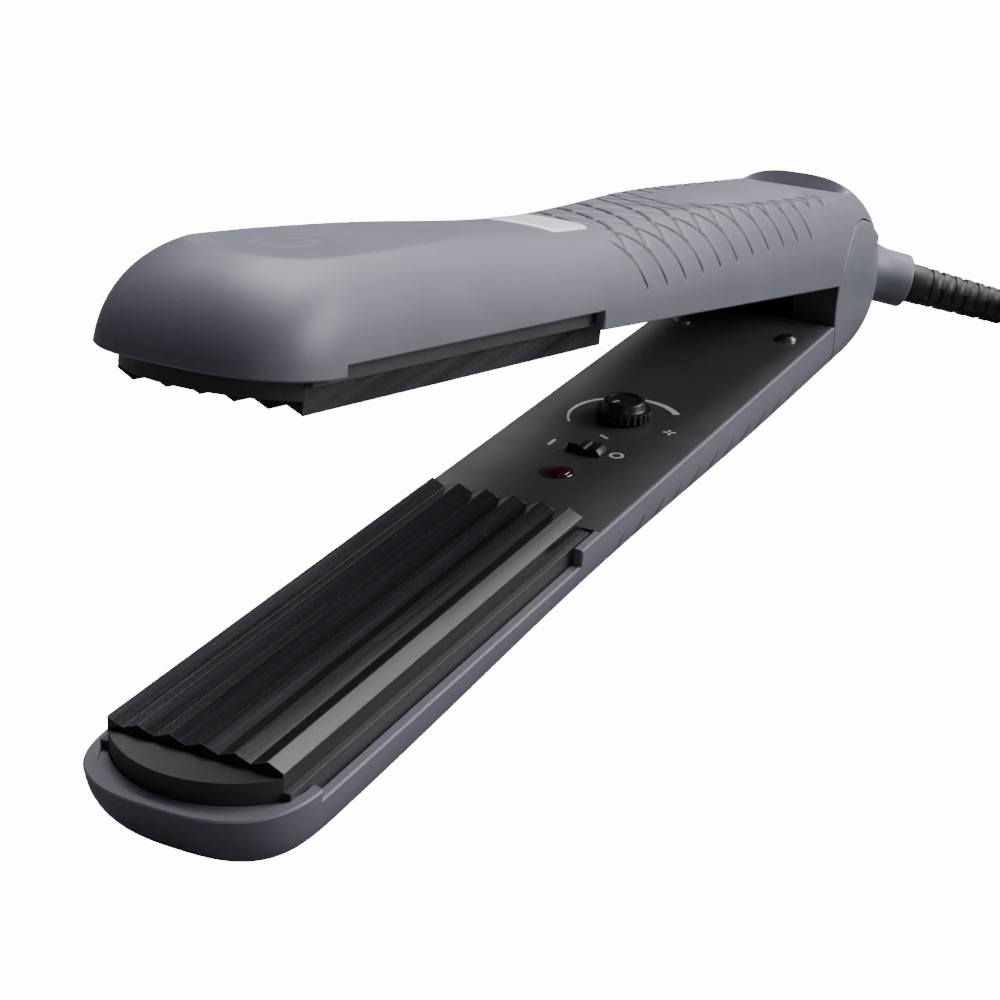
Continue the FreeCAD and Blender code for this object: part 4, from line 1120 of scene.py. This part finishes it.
def build_print():
    """Dial scale that widens with the heat, its end marks, and the switch's I and O."""
    editor = bmesh.new()
    knob = (KNOB_X, 0.0)
    add_ink_arc(editor, knob, 11.7, 128.0, -50.0, 0.5, 1.5, 80)
    low_mark = (KNOB_X - 11.4, -0.6)
    add_ink_bar(editor, low_mark, 60.0, 2.6, 0.6)
    high_mark = (KNOB_X - 2.4, -11.4)
    add_ink_bar(editor, high_mark, 20.0, 2.8, 0.6)
    add_ink_bar(editor, high_mark, 110.0, 2.8, 0.6)
    add_ink_bar(editor, (SWITCH_X + 0.8, 7.6), 0.0, 3.2, 0.75)
    add_ink_arc(editor, (SWITCH_X + 0.8, -6.9), 1.25, 0.0, 360.0, 0.6, 0.6, 40)
    return finish_piece(editor, "panel_print", LOWER, INK, "lower_arm")


def build_slider():
    """Switch slider with a finger dip between two ridges."""
    editor = bmesh.new()
    half = (SWITCH_SLOT - SWITCH_TRAVEL) / 2 - SWITCH_PLAY
    outline = [(-half, -2.6), (half, -2.6), (half, 0.5), (half - 0.9, 1.6), (0.8, 1.6), (0.4, 1.0)]
    outline += [(-0.4, 1.0), (-0.8, 1.6), (-half + 0.9, 1.6), (-half, 0.5)]
    extruded(editor, outline, -2.15, 2.15, 0.18, 3, "all")
    editor.transform(ALONG_X)
    editor.transform(Matrix.Translation((SWITCH_X, -SWITCH_TRAVEL / 2, PANEL)))
    clean(editor)
    nodes = ["power_slider"]
    return finish_piece(editor, "switch_slider", LOWER, KNOB, "power_switch", nodes, 40.0)


def build_lens():
    """Indicator lens: a low dome with a flat flange and a stem through the panel."""
    editor = bmesh.new()
    profile = [(0.01, -2.4), (2.45, -2.4), (2.45, 0.0), (3.35, 0.0), (3.4, 0.12), (3.3, 0.25), (2.9, 0.3)]
    for step in range(11):
        angle = math.pi / 2 * step / 10
        profile.append((2.75 * math.cos(angle) + 0.01, 0.3 + 0.8 * math.sin(angle)))
    turned_grid(editor, profile, 64, Vector((LENS_X, 0, PANEL)))
    clean(editor)
    nodes = ["indicator_lens"]
    return finish_piece(editor, "pilot_lens", LOWER, LENS, "lower_arm", nodes, 40.0)


build_knob()
build_pointer()
build_print()
build_slider()
build_lens()

# -------------------------------------------------------------------------- Badge


CROWN_START = 6.0
TANGENT_STEP = 0.3


def crown_point(arm, x, s, proud):
    """A point over the back of an arm at arc length s from the crown, standing a little proud."""
    half = float(half_width(x))
    height = float(arm_height(arm, x))
    across, rise = even_arc(half, height, CROWN_START, 400)
    across, rise = across[::-1], rise[::-1]
    run = np.concatenate([[0.0], np.cumsum(np.hypot(np.diff(across), np.diff(rise)))])
    y = float(np.interp(abs(s), run, across))
    h = float(np.interp(abs(s), run, rise))
    ahead_y = float(np.interp(abs(s) + TANGENT_STEP, run, across))
    ahead_h = float(np.interp(abs(s) + TANGENT_STEP, run, rise))
    tangent = Vector((0, ahead_y - y, ahead_h - h)).normalized()
    normal = Vector((0, -tangent.z, tangent.y))
    if normal.z < 0:
        normal = -normal
    y += normal.y * proud
    h += normal.z * proud
    return Vector((x, math.copysign(y, s), -BASE - h))


def build_badge():
    """Blank badge that follows the curve of the upper arm's back."""
    arm = ARMS["upper"]
    editor = bmesh.new()
    half_x = 8.0
    half_s = 6.9
    corner = 1.0
    middle_x = 106.5
    middle_s = 1.1
    steps = 28
    rows = []
    for row in range(steps + 1):
        u = -1 + 2 * row / steps
        line = []
        for column in range(steps + 1):
            v = -1 + 2 * column / steps
            x = half_x * u
            s = half_s * v
            over_x = max(abs(x) - (half_x - corner), 0.0)
            over_s = max(abs(s) - (half_s - corner), 0.0)
            reach = math.hypot(over_x, over_s)
            if reach > 0 and over_x > 0 and over_s > 0:
                scale = max(over_x, over_s) / reach
                x = math.copysign(half_x - corner + over_x * scale, x)
                s = math.copysign(half_s - corner + over_s * scale, s)
            inside = min(half_x - abs(half_x * u), half_s - abs(half_s * v))
            proud = -0.25 + 0.62 * float(smooth_step(inside / 0.5))
            line.append(crown_point(arm, middle_x + x, middle_s + s, proud))
        rows.append(line)
    fill_grid(editor, rows)
    clean(editor)
    nodes = ["badge"]
    return finish_piece(editor, "blank_badge", UPPER, BADGE, "upper_arm", nodes, 60.0)


build_badge()

# --------------------------------------------------------------------------- Cord

CORD_FLOOR = TABLE + CORD_RADIUS
CORD_START = CORD_EXIT + CORD_WAY * (RELIEF_LENGTH - 2.0)
HANK_REAR = Vector((299.9, -86.5, 0))
HANK_WAY = Vector((-0.995, -0.1, 0)).normalized()
HANK_SIDE = Vector((-HANK_WAY.y, HANK_WAY.x, 0))
HANK_RUN = 54.0
HANK_INNER = 14.5
HANK_OUTER = 20.8
HANK_STEPS = 40
# Turn number, radius and layer, from 0 on the table, of the folded strand.
HANK_COURSE = (
    (0.0, HANK_OUTER, 0),
    (0.62, HANK_OUTER, 0),
    (0.86, HANK_INNER, 0),
    (1.48, HANK_INNER, 0),
    (1.69, HANK_INNER, 1),
    (2.48, HANK_INNER, 1),
    (2.69, HANK_INNER, 2),
    (3.48, HANK_INNER, 2),
    (3.69, HANK_INNER, 3),
    (4.5, HANK_INNER, 3),
    (4.75, HANK_OUTER, 3),
    (5.33, HANK_OUTER, 3),
    (5.54, HANK_OUTER, 2),
    (6.33, HANK_OUTER, 2),
    (6.54, HANK_OUTER, 1),
    (7.36, HANK_OUTER, 1),
)


def hank_point(turn, radius, height):
    """A point on the folded strand, clockwise seen from above, from the middle of the rear end."""
    quarter = math.pi * radius / 2
    along = (turn % 1.0) * (4 * quarter + 2 * HANK_RUN)
    if along < quarter:
        centre, angle = HANK_REAR, along / radius
    elif along < quarter + HANK_RUN:
        centre, angle = HANK_REAR + HANK_WAY * (along - quarter), math.pi / 2
    elif along < 3 * quarter + HANK_RUN:
        centre, angle = HANK_REAR + HANK_WAY * HANK_RUN, (along - HANK_RUN) / radius
    elif along < 3 * quarter + 2 * HANK_RUN:
        centre = HANK_REAR + HANK_WAY * (3 * quarter + 2 * HANK_RUN - along)
        angle = 3 * math.pi / 2
    else:
        centre, angle = HANK_REAR, (along - 2 * HANK_RUN) / radius
    offset = (-HANK_WAY * math.cos(angle) + HANK_SIDE * math.sin(angle)) * radius
    return centre + offset + Vector((0, 0, CORD_FLOOR + height))


def cord_route():
    """Control points: out of the relief, down to the table, round the hank and on to the plug."""
    points = [CORD_START]
    points.append(CORD_EXIT + CORD_WAY * (RELIEF_LENGTH + 16.3))
    points.append(Vector((317.0, -71.5, CORD_FLOOR)))
    turns, radii, layers = (np.array(column) for column in zip(*HANK_COURSE))
    total = int(round(turns[-1] * HANK_STEPS))
    for step in range(total + 1):
        turn = turns[-1] * step / total
        radius = float(np.interp(turn, turns, radii))
        height = float(np.interp(turn, turns, layers)) * 2 * CORD_RADIUS
        points.append(hank_point(turn, radius, height))
    points.append(Vector((239.0, -114.6, CORD_FLOOR + 3.0)))
    points.append(Vector((229.0, -113.4, CORD_FLOOR)))
    points.append(Vector((213.5, -110.3, CORD_FLOOR)))
    return points


def build_cord():
    """The mains cord: one smooth round strand, in place of the cord, coil and tail nodes."""
    route = cord_route()
    curve = bpy.data.curves.new("mains_cord", "CURVE")
    curve.dimensions = "3D"
    curve.bevel_depth = CORD_RADIUS * MM
    curve.bevel_resolution = 6
    curve.resolution_u = 4
    curve.use_fill_caps = True
    spline = curve.splines.new("NURBS")
    spline.points.add(len(route) - 1)
    placed = to_row(LOWER)
    for control, point in zip(spline.points, route):
        control.co = (*(placed @ point), 1.0)
    spline.order_u = 3
    spline.use_endpoint_u = True
    curve.materials.append(CORD)
    cord = add_object("mains_cord", curve)
    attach(cord, "lower_arm")
    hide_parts("power_cord", "cord_coil", "cord_tail")


PLUG_START = Vector((215.0, -110.6, CORD_FLOOR))
PLUG_WAY = (PLUG_START - Vector((229.0, -113.4, CORD_FLOOR))).normalized()
PLUG_SIDE = Vector((0, 0, 1)).cross(PLUG_WAY)
PLUG_LENGTH = 36.0
PLUG_THICK = 12.0
NECK_HEIGHT = 4.0
PLUG_PLACE = LOWER @ Matrix(
    (
        (PLUG_WAY.x, PLUG_SIDE.x, 0, PLUG_START.x),
        (PLUG_WAY.y, PLUG_SIDE.y, 0, PLUG_START.y),
        (0, 0, 1, TABLE + PLUG_THICK / 2),
        (0, 0, 0, 1),
    )
)
PIN_SPACING = 19.0
PIN_RADIUS = 2.0
PIN_LENGTH = 19.0


def build_plug():
    """Flat two-pin plug: a ribbed neck that widens into the grip and a flat face."""
    editor = bmesh.new()
    stations = np.concatenate([np.linspace(0.0, 12.0, 37), np.linspace(12.0, 35.2, 40)[1:], [35.7, 36.0]])
    rows = []
    for x in stations:
        half_y = float(np.interp(x, [0, 6, 12, 18, 36], [4.3, 5.3, 7.8, 14.6, 17.3]))
        smooth = float(smooth_step((x - 7) / 14))
        half_y = half_y * (1 - smooth) + (7.5 + 9.8 * float(smooth_step((x - 9) / 16))) * smooth
        half_z = 3.9 + 2.05 * float(smooth_step((x - 3) / 14))
        if x < 11:
            wave = 0.5 + 0.5 * math.cos(2 * math.pi * x / 2.4)
            half_y -= 0.45 * wave**2
            half_z -= 0.45 * wave**2
        drop = 0.0
        if x > 35.3:
            drop = (x - 35.3) * 0.8
        row = []
        for step in range(64):
            angle = 2 * math.pi * step / 64
            power = 2.0 / (2.4 + 1.4 * smooth)
            y = math.copysign(abs(math.cos(angle)) ** power, math.cos(angle)) * (half_y - drop)
            z = math.copysign(abs(math.sin(angle)) ** power, math.sin(angle)) * (half_z - drop)
            level = (NECK_HEIGHT - PLUG_THICK / 2) * (1 - float(smooth_step(x / 12)))
            row.append(Vector((x, y, z + level)))
        rows.append(row)
    grid = fill_grid(editor, rows, close_u=True)
    editor.faces.new(grid[0])
    editor.faces.new(grid[-1])
    clean(editor)
    nodes = ["plug_body"]
    return finish_piece(editor, "mains_plug", PLUG_PLACE, PLUG, "lower_arm", nodes, 50.0)


def build_plug_pins():
    """Two round pins: sleeved shanks and bare rounded tips."""
    editor = bmesh.new()
    for side in (-1, 1):
        foot = Vector((PLUG_LENGTH - 0.5, side * PIN_SPACING / 2, 0))
        profile = [(0.01, 0.0), (PIN_RADIUS, 0.0), (PIN_RADIUS, 10.0), (PIN_RADIUS - 0.12, 10.1)]
        profile.append((PIN_RADIUS - 0.12, 10.4))
        profile.append((PIN_RADIUS - 0.02, 10.6))
        end = PIN_LENGTH + 0.5
        profile.append((PIN_RADIUS - 0.02, end - 2.0))
        for step in range(1, 9):
            angle = math.pi / 2 * step / 8
            reach = (PIN_RADIUS - 0.02) * math.cos(angle) + 0.01
            profile.append((reach, end - 2.0 + 2.0 * math.sin(angle)))
        turned_grid(editor, profile, 40, foot, Vector((1, 0, 0)))
    clean(editor)
    for face in editor.faces:
        if face.calc_center_median().x < PLUG_LENGTH + 9.6:
            face.material_index = 1
    name = "plug_contacts"
    nodes = ["plug_pins"]
    return finish_piece(editor, name, PLUG_PLACE, [BRASS, PLUG], "lower_arm", nodes, 40.0)


plug_piece = build_plug()
pin_piece = build_plug_pins()
build_cord()

# ------------------------------------------------------------ CAD nodes that stay

NODE_MATERIALS = {
    "lower_inner_cover": INNER,
    "upper_inner_cover": INNER,
    "lower_plate_holder": HOLDER,
    "upper_plate_holder": HOLDER,
    "lower_heater": CERAMIC,
    "upper_heater": CERAMIC,
    "lower_heater_clip": STEEL,
    "upper_heater_clip": STEEL,
    "lower_cover_screws": ZINC,
    "upper_cover_screws": ZINC,
    "hinge_screws": ZINC,
    "knob_shaft": KNOB,
    "potentiometer_body": BOARD,
    "switch_body": KNOB,
    "indicator_led": LENS,
    "circuit_board": BOARD,
    "thermal_fuse": STEEL,
    "temperature_sensor": CERAMIC,
    "lower_heater_leads": LEAD,
    "upper_heater_leads": LEAD,
    "mains_lead": CORD,
    "hinge_pin": STEEL,
    "hinge_spring": STEEL,
    "hinge_washers": ZINC,
    "hinge_knuckle": INNER,
}
for node_name, node_material in NODE_MATERIALS.items():
    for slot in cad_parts[node_name].material_slots:
        slot.material = node_material

# ------------------------------------------------------------ Camera and light

camera_data = bpy.data.cameras.new("camera")
camera_data.lens = 83.45
camera_data.sensor_width = 36.0
camera_data.clip_start = 0.01
camera = add_object("camera", camera_data)
camera.matrix_world = Matrix(
    (
        (0.447467, 0.353416, -0.821505, -0.393286),
        (-0.893990, 0.200965, -0.400493, -0.175494),
        (0.0235531, 0.913625, 0.405873, 0.199034),
        (0, 0, 0, 1),
    )
)
bpy.context.scene.camera = camera


def area_light(name, location, target, size, power):
    data = bpy.data.lights.new(name, "AREA")
    data.shape = "RECTANGLE"
    data.size = size[0]
    data.size_y = size[1]
    data.energy = power
    lamp = add_object(name, data)
    lamp.location = location
    lamp.rotation_euler = (Vector(target) - Vector(location)).to_track_quat("-Z", "Y").to_euler()


area_light("overhead", (0.35, 0.05, 0.9), (0.03, 0, 0.02), (0.8, 0.6), 15.0)
area_light("right_side", (0.45, -0.80, 0.45), (0.04, 0, 0.03), (0.8, 0.4), 10.0)
area_light("front_glint", (-0.60, -0.50, 0.35), (-0.13, 0, 0.07), (0.10, 0.16), 0.2)
area_light("rear_glow", (0.70, -0.10, 0.55), (0, 0, 0.03), (0.6, 0.4), 3.0)

WHITE = 14.0
world = bpy.data.worlds.new("studio")
world.use_nodes = True
bpy.context.scene.world = world
world_tree = world.node_tree
world_tree.nodes.clear()
world_output = world_tree.nodes.new("ShaderNodeOutputWorld")
seen = add_node(world_tree, "ShaderNodeBackground", Color=(1, 1, 1, 1), Strength=WHITE)
ambient = add_node(world_tree, "ShaderNodeBackground", Color=(0.9, 0.93, 1, 1), Strength=0.07)
path = add_node(world_tree, "ShaderNodeLightPath")
chooser = world_tree.nodes.new("ShaderNodeMixShader")
world_tree.links.new(path.outputs["Is Camera Ray"], chooser.inputs[0])
world_tree.links.new(ambient.outputs[0], chooser.inputs[1])
world_tree.links.new(seen.outputs[0], chooser.inputs[2])
world_tree.links.new(chooser.outputs[0], world_output.inputs["Surface"])

floor_material, floor_tree, floor_shader = new_material("floor_paper")
floor_shader.inputs["Base Color"].default_value = (0.15, 0.15, 0.15, 1)
floor_shader.inputs["Roughness"].default_value = 0.9
floor_shader.inputs["Emission Color"].default_value = (1, 1, 1, 1)
floor_path = add_node(floor_tree, "ShaderNodeLightPath")
in_view = floor_path.outputs["Is Camera Ray"]
glow = add_node(floor_tree, "ShaderNodeMath", {"operation": "MULTIPLY"}, i0=in_view, i1=WHITE)
floor_tree.links.new(glow.outputs[0], floor_shader.inputs["Emission Strength"])
floor_mesh = bpy.data.meshes.new("floor")
FLOOR_HALF = 3.0
floor_corners = [(x * FLOOR_HALF, y * FLOOR_HALF, 0) for x, y in ((-1, -1), (1, -1), (1, 1), (-1, 1))]
floor_mesh.from_pydata(floor_corners, [], [(0, 1, 2, 3)])
floor_mesh.materials.append(floor_material)
floor = add_object("floor", floor_mesh)
